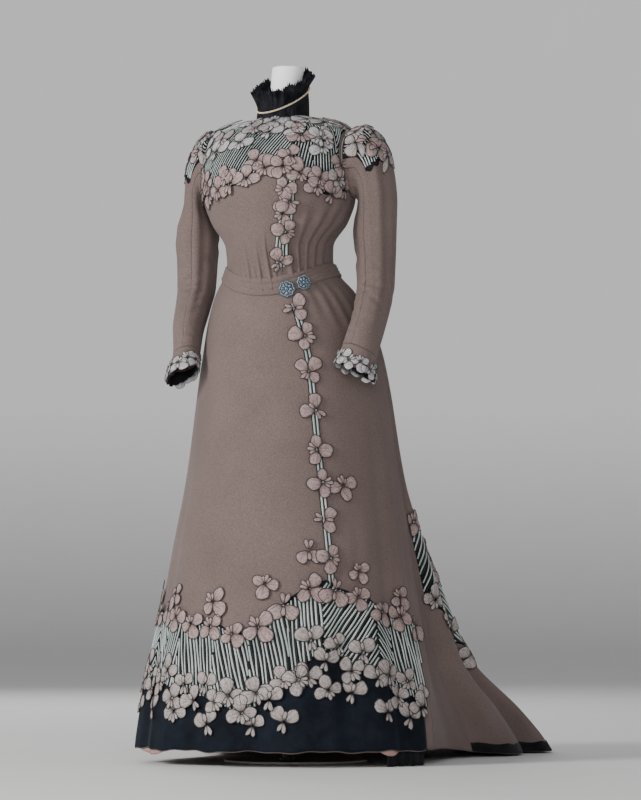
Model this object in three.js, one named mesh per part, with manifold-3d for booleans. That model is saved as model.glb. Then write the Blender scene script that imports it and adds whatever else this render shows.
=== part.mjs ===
// Day dress of about 1900 on a limbless dress form.
// Millimetres. +Z is up, the front faces -Y, the wearer's left is +X, the floor is z = 0.
// A turn is an angle round the body in degrees: 0 is the front, 90 the wearer's left.
// A level is the height of a horizontal section at the side seams.

import * as THREE from 'three';
import { mergeVertices } from 'three/addons/utils/BufferGeometryUtils.js';
import Module from 'manifold-3d';

const wasm = await Module();
wasm.setup();

// ---------------------------------------------------------------- driving sizes
const CLOTH = 2; // wall of the wool cloth
const SEAM = 0.4; // clearance between two sewn pieces
const SEAM_TURN = 0.1; // half of the clearance at an upright seam, in degrees
const REST = 0.6; // clearance under a piece that lies on a panel
const FLOOR = 0.5; // lowest point of any cloth

const WAIST = 1030; // level of the waist seam
const FRONT_HEM = 31;
const TRAIN_HEM = 3;
const NECK = 1352; // level where the collar stands
const NECK_Y = 18; // y of the neck's axis
const FRONT_DIP = 46; // how far the waist sinks at the front
const BACK_RISE = 12; // how far it rises at the back
const DIP_LOW = 845; // level below which nothing is dipped
const DIP_HIGH = 1134; // level above which nothing is dipped

const FRONT_EDGE = 88; // turn where the front skirt panel ends
const BACK_EDGE = 84; // turn where the back panel starts, under the front one
const SIDE_SEAM = 96; // turn of the bodice's side seams
const CLOSING = 24; // turn of the bodice's front closing

const ARMHOLE = { y: 10, z: 1250, halfHeight: 69, halfDepth: 55, inner: 118, outer: 200 };

// Sections of the dress from the hem to the neck.
// half: half width; front, back: reach to -Y and +Y; middle: y of the widest point;
// train: half width of the back; square: 2 is an ellipse, more is squarer.
const SECTIONS = table(['level', 'half', 'front', 'back', 'middle', 'train', 'square'], [
  [3, 326, 232, 980, 57, 460, 3],
  [31, 325, 231, 945, 58, 450, 2.95],
  [95, 318, 226, 850, 63, 415, 2.8],
  [215, 298, 214, 664, 78, 326, 2.5],
  [341, 275, 199, 540, 95, 292, 2.35],
  [467, 255, 180, 404, 104, 262, 2.25],
  [593, 233, 157, 292, 111, 230, 2.1],
  [845, 195, 126, 235, 95, 195, 2],
  [915, 178, 121, 205, 75, 178, 2],
  [985, 150, 116, 155, 40, 150, 2],
  [1030, 119, 110, 108, 10, 119, 2],
  [1054, 111, 118, 102, 8, 111, 2],
  [1082, 112, 132, 98, 8, 112, 2],
  [1134, 146, 150, 98, 8, 146, 2],
  [1180, 162, 160, 103, 8, 162, 2],
  [1230, 165, 150, 107, 9, 165, 2],
  [1270, 163, 130, 107, 10, 163, 2],
  [1300, 158, 108, 100, 12, 158, 2],
  [1325, 146, 83, 92, 15, 146, 2],
  [1342, 111, 58, 84, 17.5, 111, 2],
  [1352, 57, 39, 75, 18, 57, 2],
]);

// Folds of the back panel: turn of the trough, half its spread, its depth at the floor
// and the level where it begins.
const FOLDS = table(['turn', 'spread', 'depth', 'top'], [
  [98, 10, 46, 985],
  [117, 8, 26, 720],
  [133, 8, 34, 845],
  [150, 9, 38, 915],
  [168, 8, 34, 985],
  [192, 8, 34, 985],
  [210, 9, 38, 915],
  [227, 8, 34, 845],
  [243, 8, 26, 720],
  [262, 10, 46, 985],
]);

// The wave of the striped border on the front: level of its upper and lower edge.
const BORDER = table(['turn', 'low', 'high'], [
  [-88, 170, 312],
  [-48, 172, 318],
  [-16, 142, 290],
  [0, 112, 272],
  [12, 150, 328],
  [32, 238, 380],
  [48, 200, 352],
  [64, 152, 318],
  [88, 116, 282],
]);

// The same border on the train, with the turn counted from the front on either side.
const TRAIN_BORDER = table(['turn', 'low', 'high'], [
  [104, 330, 520],
  [120, 250, 410],
  [140, 215, 360],
  [160, 260, 400],
  [179, 300, 440],
]);

// The sleeve from the armhole to the wrist, on the wearer's left.
// out and in: the outer and inner edge, seen from the front; depth: half its reach in y;
// lean: how far the section tips forward, in degrees.
const SLEEVE = table(['outX', 'outZ', 'inX', 'inZ', 'middleY', 'depth', 'lean'], [
  [150, 1318.4, 164, 1181.6, 10, 54.4, 0],
  [163, 1321, 173, 1180, 12, 57, 0],
  [186, 1331, 173, 1176, 20, 60, 0],
  [205, 1320, 172, 1170, 24, 61, 0],
  [226, 1290, 170, 1161, 27, 61, 0],
  [240, 1240, 166, 1149, 29, 60, 0],
  [246, 1180, 160, 1134, 31, 58, 0],
  [245, 1125, 156, 1106, 33, 55, 0],
  [242, 1060, 160, 1060, 37, 51, 0],
  [240, 1000, 163, 1006, 34, 48, 6],
  [238, 955, 166, 968, 14, 45, 18],
  [235, 910, 167, 926, -14, 42, 28],
  [231, 866, 162, 886, -40, 40, 28],
  [230, 846, 159, 866, -52, 38, 24],
]);
const RIGHT_SLEEVE = { head: 25, headFrom: 1100, wrist: 12, wristFrom: 930 }; // its slimmer puff and wrist
const SLEEVE_STEPS = 18; // columns round a sleeve
const UPPER_HALF = 5; // columns of the upper sleeve on each side of its outer edge
const SLEEVE_SEAM = 0.3; // half of the clearance at a sleeve seam, in degrees

const CUFF = table(['outX', 'outZ', 'inX', 'inZ', 'middleY', 'depth', 'lean'], [
  [230, 845.5, 159, 865.5, -52.3, 38, 24],
  [233, 824, 156, 850, -63, 38, 18],
  [236, 796, 153, 836, -75, 38, 12],
]);
const CUFF_STEPS = 18;
const CUFF_SCALLOP = 3;
const LINING_SHOW = 6; // how far the black cuff lining shows below the cuff

const FLOWER = { lobes: 4, rimPoints: 12, edge: 1, dome: 2.4 };

// ---------------------------------------------------------------- colours and finish
const WOOL = finish(0x7d7069, 0.95);
const DARK = finish(0x14171c, 0.9);
const NAVY = finish(0x1b222d, 0.95);
const PETAL = finish(0xb8a49c, 0.9);
const STRIPE = finish(0x9fb8b2, 0.85);
const CREAM = finish(0xd8c9a8, 0.9);
const METAL = finish(0x7c8794, 0.35, 0.9);
const FORM = finish(0xf0eeea, 0.6);
const STEEL = finish(0x4a4c50, 0.4, 0.8);
const PLATE = finish(0xe4e0dc, 0.6);

function finish(color, roughness, metalness = 0) {
  return new THREE.MeshStandardMaterial({ color, roughness, metalness });
}

// ---------------------------------------------------------------- numbers
function table(columns, lines) {
  return lines.map((line) => Object.fromEntries(columns.map((name, i) => [name, line[i]])));
}

function clamp(value, low = 0, high = 1) {
  return Math.min(high, Math.max(low, value));
}

function ease(value) {
  const part = clamp(value);
  return part * part * (3 - 2 * part);
}

function mix(from, to, part) {
  return from + (to - from) * part;
}

function range(from, to, step) {
  const count = Math.round((to - from) / step);
  return Array.from({ length: count + 1 }, (_, i) => from + (i * (to - from)) / count);
}

function radians(degrees) {
  return (degrees * Math.PI) / 180;
}

// A row of a table at any value of its first column, straight between its lines.
function rowAt(rows, key, value) {
  const last = rows.length - 1;
  let i = 0;
  while (i < last - 1 && rows[i + 1][key] < value) i += 1;
  const part = clamp((value - rows[i][key]) / (rows[i + 1][key] - rows[i][key]));
  const names = Object.keys(rows[i]);
  return Object.fromEntries(names.map((name) => [name, mix(rows[i][name], rows[i + 1][name], part)]));
}

// The same, but eased between the lines, so that an edge runs in soft waves.
function waveAt(rows, value) {
  let i = 0;
  while (i < rows.length - 2 && rows[i + 1].turn < value) i += 1;
  const part = ease((value - rows[i].turn) / (rows[i + 1].turn - rows[i].turn));
  return {
    low: mix(rows[i].low, rows[i + 1].low, part),
    high: mix(rows[i].high, rows[i + 1].high, part),
  };
}

// ---------------------------------------------------------------- the body's surface
function waistDip(turn, level) {
  const front = Math.cos(radians(turn));
  const reach = front > 0 ? -FRONT_DIP : BACK_RISE;
  const below = (level - DIP_LOW) / (WAIST - DIP_LOW);
  const above = (DIP_HIGH - level) / (DIP_HIGH - WAIST);
  return reach * front * front * clamp(Math.min(below, above));
}

function bodyPoint(turn, level) {
  const section = rowAt(SECTIONS, 'level', level);
  const side = Math.sin(radians(turn));
  const front = Math.cos(radians(turn));
  const z = level + waistDip(turn, level);
  if (front >= 0) {
    const y = section.middle - (section.middle + section.front) * front;
    return new THREE.Vector3(section.half * side, y, z);
  }
  const power = 2 / section.square;
  const past = (Math.abs(((turn + 180) % 360) - 180) - 90) / 45;
  const half = mix(section.half, section.train, ease(past));
  const x = half * Math.sign(side) * Math.abs(side) ** power;
  const y = section.middle + (section.back - section.middle) * (-front) ** power;
  return new THREE.Vector3(x, y, z);
}

// How far the back panel lies inside the body's surface: its tucked edges and its folds.
function foldDepth(turn, level) {
  const fromEdge = Math.min(turn - FRONT_EDGE, 360 - FRONT_EDGE - turn);
  let depth = (CLOTH + 1.8) * (1 - ease(fromEdge / 5));
  for (const fold of FOLDS) {
    const away = Math.abs(turn - fold.turn) / fold.spread;
    if (away >= 1) continue;
    const growth = clamp((fold.top - level) / (fold.top - TRAIN_HEM));
    depth = Math.max(depth, fold.depth * growth * Math.cos((away * Math.PI) / 2) ** 2);
  }
  return depth;
}

// The train's hem starts as high as the front's and sinks to the floor.
function trainHem(turn) {
  const fromEdge = Math.min(turn - BACK_EDGE, 360 - BACK_EDGE - turn);
  return mix(FRONT_HEM, TRAIN_HEM, ease((fromEdge - 4) / 24));
}

function trainPoint(turn, level) {
  const step = 0.5;
  const height = level === TRAIN_HEM ? trainHem(turn) : level;
  const along = bodyPoint(turn + step, height).sub(bodyPoint(turn - step, height));
  const inward = new THREE.Vector3(-along.y, along.x, 0).normalize();
  return bodyPoint(turn, height).addScaledVector(inward, foldDepth(turn, height));
}

// The x of the bodice's side at a point of the armhole.
function sideReach(y, z) {
  const section = rowAt(SECTIONS, 'level', z);
  const reach = y < section.middle ? section.middle + section.front : section.back - section.middle;
  const part = clamp((y - section.middle) / reach, -1, 1);
  return section.half * Math.sqrt(1 - part * part);
}

// ---------------------------------------------------------------- grids and walls
// A grid holds rows of points with their outward normals. Its columns run to the left
// as seen from outside looking down its rows, so that the normals point out.
function grid(points, closed = false) {
  const normals = points.map((row, i) => row.map((point, j) => {
    const last = row.length - 1;
    const before = closed && j === 0 ? last : Math.max(0, j - 1);
    const after = closed && j === last ? 0 : Math.min(last, j + 1);
    const down = points[Math.max(0, i - 1)];
    const up = points[Math.min(points.length - 1, i + 1)];
    const across = row[after].clone().sub(row[before]);
    const along = up[j].clone().sub(down[j]);
    return across.cross(along).normalize();
  }));
  return { points, normals, closed };
}

// A grid over a shape. Its normals come from the shape itself, so they agree at a seam.
function panel(turns, levels, shape, closed = false) {
  const step = 0.5;
  const points = levels.map((level) => turns.map((turn) => shape(turn, level)));
  const normals = levels.map((_, i) => turns.map((turn, j) => {
    const across = shape(turn + step, levels[i]).sub(shape(turn - step, levels[i]));
    const above = points[Math.min(levels.length - 1, i + 1)][j];
    const below = points[Math.max(0, i - 1)][j];
    return across.cross(above.clone().sub(below)).normalize();
  }));
  return { points, normals, closed, turns, levels };
}

function indexIn(list, value) {
  let i = 0;
  while (i < list.length - 2 && list[i + 1] < value) i += 1;
  return i + clamp((value - list[i]) / (list[i + 1] - list[i]));
}

// A point of a grid between its own points, and the normal there.
function between(source, row, column) {
  const i = Math.min(Math.floor(row), source.points.length - 2);
  const j = Math.min(Math.floor(column), source.points[0].length - 2);
  const blend = (list) => {
    const low = list[i][j].clone().lerp(list[i][j + 1], column - j);
    const high = list[i + 1][j].clone().lerp(list[i + 1][j + 1], column - j);
    return low.lerp(high, row - i);
  };
  return { point: blend(source.points), normal: blend(source.normals).normalize() };
}

function spot(source, turn, level) {
  return between(source, indexIn(source.levels, level), indexIn(source.turns, turn));
}

// A grid that lies on a panel: one column for each turn, at the levels given for it.
function laidOn(source, turns, levelsOf) {
  const columns = turns.map((turn) => levelsOf(turn).map((level) => spot(source, turn, level)));
  const rows = columns[0].map((_, i) => columns.map((column) => column[i]));
  return {
    points: rows.map((row) => row.map((place) => place.point)),
    normals: rows.map((row) => row.map((place) => place.normal)),
    closed: false,
  };
}

function movedOut(source, distance) {
  const distanceAt = typeof distance === 'function' ? distance : () => distance;
  return source.points.map((row, i) => row.map((point, j) => {
    const moved = point.clone().addScaledVector(source.normals[i][j], distanceAt(i, j));
    moved.z = Math.max(moved.z, FLOOR);
    return moved;
  }));
}

// A closed wall between two distances from a grid.
function wall(source, inner, outer) {
  const rows = source.points.length;
  const columns = source.points[0].length;
  const points = [...movedOut(source, outer).flat(), ...movedOut(source, inner).flat()];
  const back = rows * columns;
  const faces = [];
  const quad = (a, b, c, d) => faces.push(a, b, c, a, c, d);
  const spans = source.closed ? columns : columns - 1;
  for (let j = 0; j < spans; j += 1) {
    const next = (j + 1) % columns;
    for (let i = 0; i < rows - 1; i += 1) {
      const [a, b] = [i * columns + j, i * columns + next];
      const [c, d] = [b + columns, a + columns];
      quad(a, b, c, d);
      quad(back + a, back + d, back + c, back + b);
    }
    const top = (rows - 1) * columns;
    quad(j, back + j, back + next, next);
    quad(top + j, top + next, back + top + next, back + top + j);
  }
  for (let i = 0; i < rows - 1 && !source.closed; i += 1) {
    const [a, d] = [i * columns, (i + 1) * columns];
    const [b, c] = [a + columns - 1, d + columns - 1];
    quad(a, d, back + d, back + a);
    quad(b, back + b, back + c, c);
  }
  return geometryOf(points, faces);
}

// A closed solid through level rings, with flat ends.
function stack(rings) {
  const columns = rings[0].length;
  const points = rings.flat();
  const faces = [];
  for (let i = 0; i < rings.length - 1; i += 1) {
    for (let j = 0; j < columns; j += 1) {
      const next = (j + 1) % columns;
      const [a, b] = [i * columns + j, i * columns + next];
      faces.push(a, b, b + columns, a, b + columns, a + columns);
    }
  }
  const centre = (ring) => ring.reduce((sum, p) => sum.add(p), new THREE.Vector3()).divideScalar(columns);
  const low = points.push(centre(rings[0])) - 1;
  const high = points.push(centre(rings[rings.length - 1])) - 1;
  const top = (rings.length - 1) * columns;
  for (let j = 0; j < columns; j += 1) {
    const next = (j + 1) % columns;
    faces.push(low, next, j, high, top + j, top + next);
  }
  return geometryOf(points, faces);
}

function geometryOf(points, faces) {
  const geometry = new THREE.BufferGeometry();
  const numbers = new Float32Array(points.flatMap((p) => [p.x, p.y, p.z]));
  geometry.setAttribute('position', new THREE.BufferAttribute(numbers, 3));
  geometry.setIndex(faces);
  return geometry;
}

function mirrored(geometry) {
  const copy = geometry.clone();
  copy.scale(-1, 1, 1);
  const faces = Array.from(copy.getIndex().array);
  for (let i = 0; i < faces.length; i += 3) [faces[i], faces[i + 1]] = [faces[i + 1], faces[i]];
  copy.setIndex(faces);
  return copy;
}

// ---------------------------------------------------------------- cuts
function solidOf(geometry) {
  const bare = geometry.clone();
  bare.deleteAttribute('normal');
  bare.deleteAttribute('uv');
  const merged = mergeVertices(bare, 1e-4);
  const vertProperties = new Float32Array(merged.attributes.position.array);
  const triVerts = new Uint32Array(merged.index.array);
  return new wasm.Manifold(new wasm.Mesh({ numProp: 3, vertProperties, triVerts }));
}

function geometryFrom(solid) {
  const mesh = solid.getMesh();
  const geometry = new THREE.BufferGeometry();
  geometry.setAttribute('position', new THREE.BufferAttribute(new Float32Array(mesh.vertProperties), 3));
  geometry.setIndex(Array.from(mesh.triVerts));
  return geometry;
}

function armholeCutter(side, margin) {
  const length = ARMHOLE.outer - ARMHOLE.inner;
  const cutter = new THREE.CylinderGeometry(1, 1, length, 22);
  cutter.rotateZ(Math.PI / 2);
  cutter.scale(1, ARMHOLE.halfDepth + margin, ARMHOLE.halfHeight + margin);
  cutter.translate((side * (ARMHOLE.outer + ARMHOLE.inner)) / 2, ARMHOLE.y, ARMHOLE.z);
  return solidOf(cutter);
}

function withArmholes(geometry, sides, margin = 0) {
  let solid = solidOf(geometry);
  for (const side of sides) solid = solid.subtract(armholeCutter(side, margin));
  return geometryFrom(solid);
}

// ---------------------------------------------------------------- bodice
const BODICE_LEVELS = SECTIONS.map((row) => row.level).filter((level) => level >= WAIST);
const TUCKED_LEVELS = [1082];
const TUCK_HEIGHT = 3;
const TUCKS = { from: -28, to: 12, step: 4 };

const RIGHT_TURNS = [...range(-SIDE_SEAM, -32, 8), ...range(TUCKS.from, CLOSING, TUCKS.step)];
const LEFT_TURNS = range(CLOSING, SIDE_SEAM, 8);
const BACK_TURNS = range(SIDE_SEAM, 360 - SIDE_SEAM, 12);
const TORSO_TURNS = [...RIGHT_TURNS, ...LEFT_TURNS.slice(1), ...BACK_TURNS.slice(1)];
const torso = panel(TORSO_TURNS, BODICE_LEVELS, bodyPoint);

function bodicePanel(turns) {
  const last = turns.length - 1;
  const sewn = turns.map((turn, i) => turn + (i === 0 ? SEAM_TURN : 0) - (i === last ? SEAM_TURN : 0));
  const levels = BODICE_LEVELS.map((level, i) => (i === 0 ? level + SEAM : level));
  return panel(sewn, levels, bodyPoint);
}

// Every second column of the right front is raised as a stitched tuck above the belt.
function bodiceFrontRight() {
  const source = bodicePanel(RIGHT_TURNS);
  const raised = (i, j) => {
    const level = BODICE_LEVELS[i];
    const turn = RIGHT_TURNS[j];
    const tucked = turn >= TUCKS.from && turn <= TUCKS.to && (turn - TUCKS.from) % 8 === 0;
    return tucked && TUCKED_LEVELS.includes(level) ? TUCK_HEIGHT : 0;
  };
  return withArmholes(wall(source, -CLOTH, raised), [-1]);
}

function bodiceFrontLeft() {
  return withArmholes(wall(bodicePanel(LEFT_TURNS), -CLOTH, 0), [1]);
}

function bodiceBack() {
  const source = bodicePanel(BACK_TURNS);
  return withArmholes(wall(source, -CLOTH, 0), [-1, 1]);
}

// ---------------------------------------------------------------- yoke
const YOKE = {
  top: 1349, fixed: [1230, 1270, 1300, 1325, 1342], rise: 1224, lobe: 40, thick: 2, edge: 88,
  rightLobe: 60, leftLobe: 36, backLow: 1206, scallop: 5, margin: 6,
};

function yokeFrontLow(turn) {
  const away = turn - CLOSING + 4;
  const part = away < 0 ? -away / YOKE.rightLobe : away / YOKE.leftLobe;
  return YOKE.rise - YOKE.lobe * Math.sin(Math.min(part, 1.25) * (Math.PI / 2)) ** 2;
}

function yokePiece(turns, lowOf, sides) {
  const levels = (turn) => {
    const scallop = Math.abs(turn / 4) % 4 === 2 ? YOKE.scallop : 0;
    return [lowOf(turn) - scallop, ...YOKE.fixed, YOKE.top];
  };
  const source = laidOn(torso, turns, levels);
  return withArmholes(wall(source, REST, REST + YOKE.thick), sides, YOKE.margin);
}

// ---------------------------------------------------------------- collar
const COLLAR = {
  step: 12, radius: 56, waist: 53, wall: 1.6, cord: 2.2, cordSides: 5,
  cordMiddle: 1399, cordFront: 30, cordSide: 14, rimMiddle: 1432, rimFront: 26, rimSide: 10,
  frillFoot: 53.5, frillRim: 63, frillWaves: 20, frillWave: 3.6, frillWall: 1.2,
};

function neckRing(radiusAt, heightAt, step) {
  return range(0, 360 - step, step).map((turn) => {
    const angle = radians(turn);
    const radius = radiusAt(angle);
    const y = NECK_Y - radius * Math.cos(angle);
    return new THREE.Vector3(radius * Math.sin(angle), y, heightAt(angle));
  });
}

function cordHeight(angle) {
  return COLLAR.cordMiddle - COLLAR.cordFront * Math.cos(angle) + COLLAR.cordSide * Math.sin(angle);
}

function rimHeight(angle) {
  return COLLAR.rimMiddle - COLLAR.rimFront * Math.cos(angle) + COLLAR.rimSide * Math.sin(angle);
}

function collarStand() {
  const foot = neckRing(() => COLLAR.radius, () => NECK + SEAM, COLLAR.step);
  const middle = neckRing(() => COLLAR.waist + 1, (a) => mix(NECK, cordHeight(a), 0.5), COLLAR.step);
  const top = neckRing(() => COLLAR.waist, cordHeight, COLLAR.step);
  return wall(grid([foot, middle, top], true), -COLLAR.wall, 0);
}

// The cord is a ring of small sections round the collar, just above the stand's rim.
function collarCord() {
  const radius = COLLAR.waist + SEAM + COLLAR.cord;
  const rows = range(0, 360 - 360 / COLLAR.cordSides, 360 / COLLAR.cordSides).map((around) => {
    const out = COLLAR.cord * Math.cos(radians(around));
    const up = COLLAR.cord * Math.sin(radians(around));
    return neckRing(() => radius + out, (a) => cordHeight(a) - COLLAR.cord + up, COLLAR.step);
  });
  return tube(rows);
}

// A closed tube through rows that each run round a closed ring.
function tube(rows) {
  const columns = rows[0].length;
  const faces = [];
  rows.forEach((_, i) => {
    const over = (i + 1) % rows.length;
    for (let j = 0; j < columns; j += 1) {
      const next = (j + 1) % columns;
      const [a, b] = [i * columns + j, i * columns + next];
      const [c, d] = [over * columns + next, over * columns + j];
      faces.push(a, b, c, a, c, d);
    }
  });
  return geometryOf(rows.flat(), faces);
}

function collarFrill() {
  const step = 360 / (COLLAR.frillWaves * 4);
  const ring = (part) => neckRing(
    (angle) => mix(COLLAR.frillFoot, COLLAR.frillRim, part ** 1.4)
      + COLLAR.frillWave * part * Math.sin(COLLAR.frillWaves * angle),
    (angle) => mix(cordHeight(angle) + SEAM, rimHeight(angle), part),
    step,
  );
  return wall(grid([ring(0), ring(1)], true), -COLLAR.frillWall, 0);
}

// ---------------------------------------------------------------- sleeves
function sleevePoint(row, around) {
  const across = Math.cos(radians(around));
  const ahead = Math.sin(radians(around));
  const lean = radians(row.lean);
  return new THREE.Vector3(
    mix(row.outX, row.inX, 0.5 - across / 2),
    row.middleY - row.depth * Math.cos(lean) * ahead,
    mix(row.outZ, row.inZ, 0.5 - across / 2) + row.depth * Math.sin(lean) * ahead,
  );
}

// The right sleeve's puff is a little slimmer, and its wrist hangs nearer the body.
function onSide(rows, side) {
  if (side > 0) return rows;
  return rows.map((row, i) => {
    const puffed = rows !== SLEEVE || i > 1;
    const head = puffed ? RIGHT_SLEEVE.head * ease((row.outZ - RIGHT_SLEEVE.headFrom) / 100) : 0;
    const wrist = RIGHT_SLEEVE.wrist * ease((RIGHT_SLEEVE.wristFrom - row.outZ) / 100);
    return { ...row, outX: row.outX - head - wrist, inX: row.inX + wrist * 0.3 };
  });
}

// The first two rows follow the bodice round the armhole, just clear of it.
function sleeveRow(rows, index, around) {
  const point = sleevePoint(rows[index], around);
  const clearance = [1, 9][index];
  if (clearance !== undefined) point.x = sideReach(point.y, Math.min(point.z, 1318)) + clearance;
  return point;
}

function sleeveGrid(side, from, to) {
  const step = 360 / SLEEVE_STEPS;
  const arounds = range(from * step + SLEEVE_SEAM, to * step - SLEEVE_SEAM, step);
  const rows = onSide(SLEEVE, side);
  return panel(arounds, rows.map((_, i) => i), (around, i) => sleeveRow(rows, i, around));
}

function upperSleeve(side) {
  return wall(sleeveGrid(side, -UPPER_HALF, UPPER_HALF), -CLOTH, 0);
}

function underSleeve(side) {
  return wall(sleeveGrid(side, UPPER_HALF, SLEEVE_STEPS - UPPER_HALF), -CLOTH, 0);
}

const CAP = { first: 2, last: 5.4, half: 3, scallop: 0.35, thick: 2 };

// Applied flowers cover the head of the sleeve as one scalloped cap.
function sleeveCap(side) {
  const source = sleeveGrid(side, -UPPER_HALF, UPPER_HALF);
  const columns = range(UPPER_HALF - CAP.half, UPPER_HALF + CAP.half, 1);
  const rows = [CAP.first, 3, 4, 5, CAP.last];
  const places = rows.map((row, i) => columns.map((column) => {
    const lobe = i === rows.length - 1 && column % 2 === 0 ? CAP.scallop : 0;
    return between(source, row + lobe, column);
  }));
  const laid = {
    points: places.map((line) => line.map((place) => place.point)),
    normals: places.map((line) => line.map((place) => place.normal)),
    closed: false,
  };
  return wall(laid, REST, REST + CAP.thick);
}

function cuffGrid(side) {
  const arounds = range(0, 360 - 360 / CUFF_STEPS, 360 / CUFF_STEPS);
  const points = onSide(CUFF, side).map((row, i) => arounds.map((around, j) => {
    const point = sleevePoint(row, around);
    if (i === CUFF.length - 1) point.z -= (j % 3) * CUFF_SCALLOP;
    return point;
  }));
  return grid(points, true);
}

function cuff(side) {
  return wall(cuffGrid(side), -CLOTH, 0);
}

// The black lining is a second wall inside the cuff, and shows below it.
function cuffLining(side) {
  const shell = cuffGrid(side);
  const inside = movedOut(shell, -(CLOTH + REST));
  const edge = inside[2].map((point, j) => {
    const along = point.clone().sub(inside[1][j]).normalize();
    return point.clone().addScaledVector(along, LINING_SHOW);
  });
  return wall(grid([inside[1], inside[2], edge], true), -1.2, 0);
}

// ---------------------------------------------------------------- skirt
const SKIRT_LEVELS = SECTIONS.map((row) => row.level).filter((level) => level <= WAIST);
const FRONT_LEVELS = SKIRT_LEVELS.filter((level) => level >= FRONT_HEM);
const BACK_LEVELS = SKIRT_LEVELS.filter((level) => level !== FRONT_HEM);
const skirtTop = (level) => (level === WAIST ? level - SEAM / 2 : level);

const skirtFront = panel(range(-FRONT_EDGE, FRONT_EDGE, 8), FRONT_LEVELS.map(skirtTop), bodyPoint);
const skirtBack = panel(range(BACK_EDGE, 360 - BACK_EDGE, 4), BACK_LEVELS.map(skirtTop), trainPoint);

function backHalf(from, to) {
  const turns = range(from, to, 4);
  const last = turns.length - 1;
  turns[0] += from === 180 ? SEAM_TURN : 0;
  turns[last] -= to === 180 ? SEAM_TURN : 0;
  return panel(turns, BACK_LEVELS.map(skirtTop), trainPoint);
}

const HEM_PANEL = { edge: 80, foot: 33, thick: 1.2 };
const BAND = { edge: 84, step: 4, thick: 1.2, ridge: 2.4, scallop: 7, scallopTurn: 8 };
const BAND_REST = REST + HEM_PANEL.thick + 0.8;
const TRAIN_REST = 2; // the train's folds bulge between the columns of what lies on it

function hemPanel() {
  const levels = (turn) => {
    const edge = waveAt(BORDER, turn);
    return [HEM_PANEL.foot, 95, 215, Math.max(222, mix(edge.low, edge.high, 0.4))];
  };
  const source = laidOn(skirtFront, range(-HEM_PANEL.edge, HEM_PANEL.edge, 8), levels);
  return wall(source, REST, REST + HEM_PANEL.thick);
}

// The edges of the band are raised and scalloped: that is where its flowers lie.
function borderBand(source, rows, turns, rest) {
  const levels = (turn) => {
    const edge = waveAt(rows, Math.min(turn, 360 - turn));
    const lobe = BAND.scallop * Math.abs(Math.sin((Math.PI * turn) / BAND.scallopTurn));
    const [lower, upper] = [mix(edge.low, edge.high, 0.25), mix(edge.low, edge.high, 0.75)];
    return [edge.low - lobe, lower, upper, edge.high + lobe];
  };
  const laid = laidOn(source, turns, levels);
  const outer = (i) => rest + (i === 0 || i === 3 ? BAND.ridge : BAND.thick);
  return wall(laid, rest, outer);
}

const BINDING = { top: 26, thick: 1.2, rest: 1.5 };

function trainBinding() {
  const turns = range(104, 256, 4);
  const source = laidOn(skirtBack, turns, () => [TRAIN_HEM + 2, BINDING.top]);
  return wall(source, BINDING.rest, BINDING.rest + BINDING.thick);
}

// The strip of the front closing: turn and level of its middle, and half its width.
const BODICE_STRIP = table(['level', 'turn', 'half'], [
  [1060, 24, 13],
  [1096, 24.5, 14],
  [1134, 25, 15],
  [1180, 25, 15.5],
  [1212, 25, 15],
]);
const SKIRT_STRIP = table(['level', 'turn', 'half'], [
  [372, 37, 7],
  [467, 36, 7],
  [593, 34, 7],
  [720, 32, 7],
  [845, 30, 7],
  [915, 28, 7],
  [985, 26.5, 7],
]);
const STRIP_THICK = 1.4;

function strip(source, lines) {
  const places = lines.map((line) => {
    const reach = rowAt(SECTIONS, 'level', line.level);
    const halfTurn = (line.half / ((reach.half + reach.front) / 2)) * (180 / Math.PI);
    const turns = [line.turn - halfTurn, line.turn, line.turn + halfTurn];
    return turns.map((turn) => spot(source, turn, line.level));
  });
  const laid = {
    points: places.map((line) => line.map((place) => place.point)),
    normals: places.map((line) => line.map((place) => place.normal)),
    closed: false,
  };
  return wall(laid, REST, REST + STRIP_THICK);
}

// ---------------------------------------------------------------- belt and clasp
const BELT = { low: 1018, high: 1046, folds: 3, rest: 0.9, thick: 2.4, fold: 1.4 };

function belt() {
  const count = BELT.folds * 2;
  const levels = range(BELT.low, BELT.high, (BELT.high - BELT.low) / count);
  const stretch = (turn, level) => {
    const middle = (BELT.low + BELT.high) / 2;
    const wide = 1 + 0.18 * Math.max(0, Math.cos(radians(turn)));
    return bodyPoint(turn, middle + (level - middle) * wide);
  };
  const source = panel(range(0, 348, 12), levels, stretch, true);
  return wall(source, BELT.rest, (i) => BELT.rest + BELT.thick + (i % 2 ? BELT.fold : 0));
}

// Two round plates on the belt. Each is a low dome over a flat back.
const CLASP = table(['turn', 'level', 'radius'], [
  [24.5, 1024, 18.6],
  [41, 1027, 16.8],
]);
const CLASP_THICK = 2.4;
const CLASP_DOME = 2.2;
const CLASP_LIFT = [5.7, 6.1];

function claspPlate(index) {
  const plate = CLASP[index];
  const point = bodyPoint(plate.turn, plate.level);
  const side = bodyPoint(plate.turn + 1, plate.level).sub(bodyPoint(plate.turn - 1, plate.level));
  const out = new THREE.Vector3(side.y, -side.x, 0).normalize();
  const outline = [
    [0, 0],
    [plate.radius, 0],
    [plate.radius, CLASP_THICK * 0.7],
    [plate.radius * 0.8, CLASP_THICK],
    [plate.radius * 0.45, CLASP_THICK + CLASP_DOME * 0.6],
    [0, CLASP_THICK + CLASP_DOME],
  ].map(([x, y]) => new THREE.Vector2(x, y));
  const lathe = new THREE.LatheGeometry(outline, 14);
  const turned = new THREE.Quaternion().setFromUnitVectors(new THREE.Vector3(0, 1, 0), out);
  lathe.applyQuaternion(turned);
  const place = point.addScaledVector(out, CLASP_LIFT[index]);
  lathe.translate(place.x, place.y, place.z);
  return lathe;
}

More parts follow.
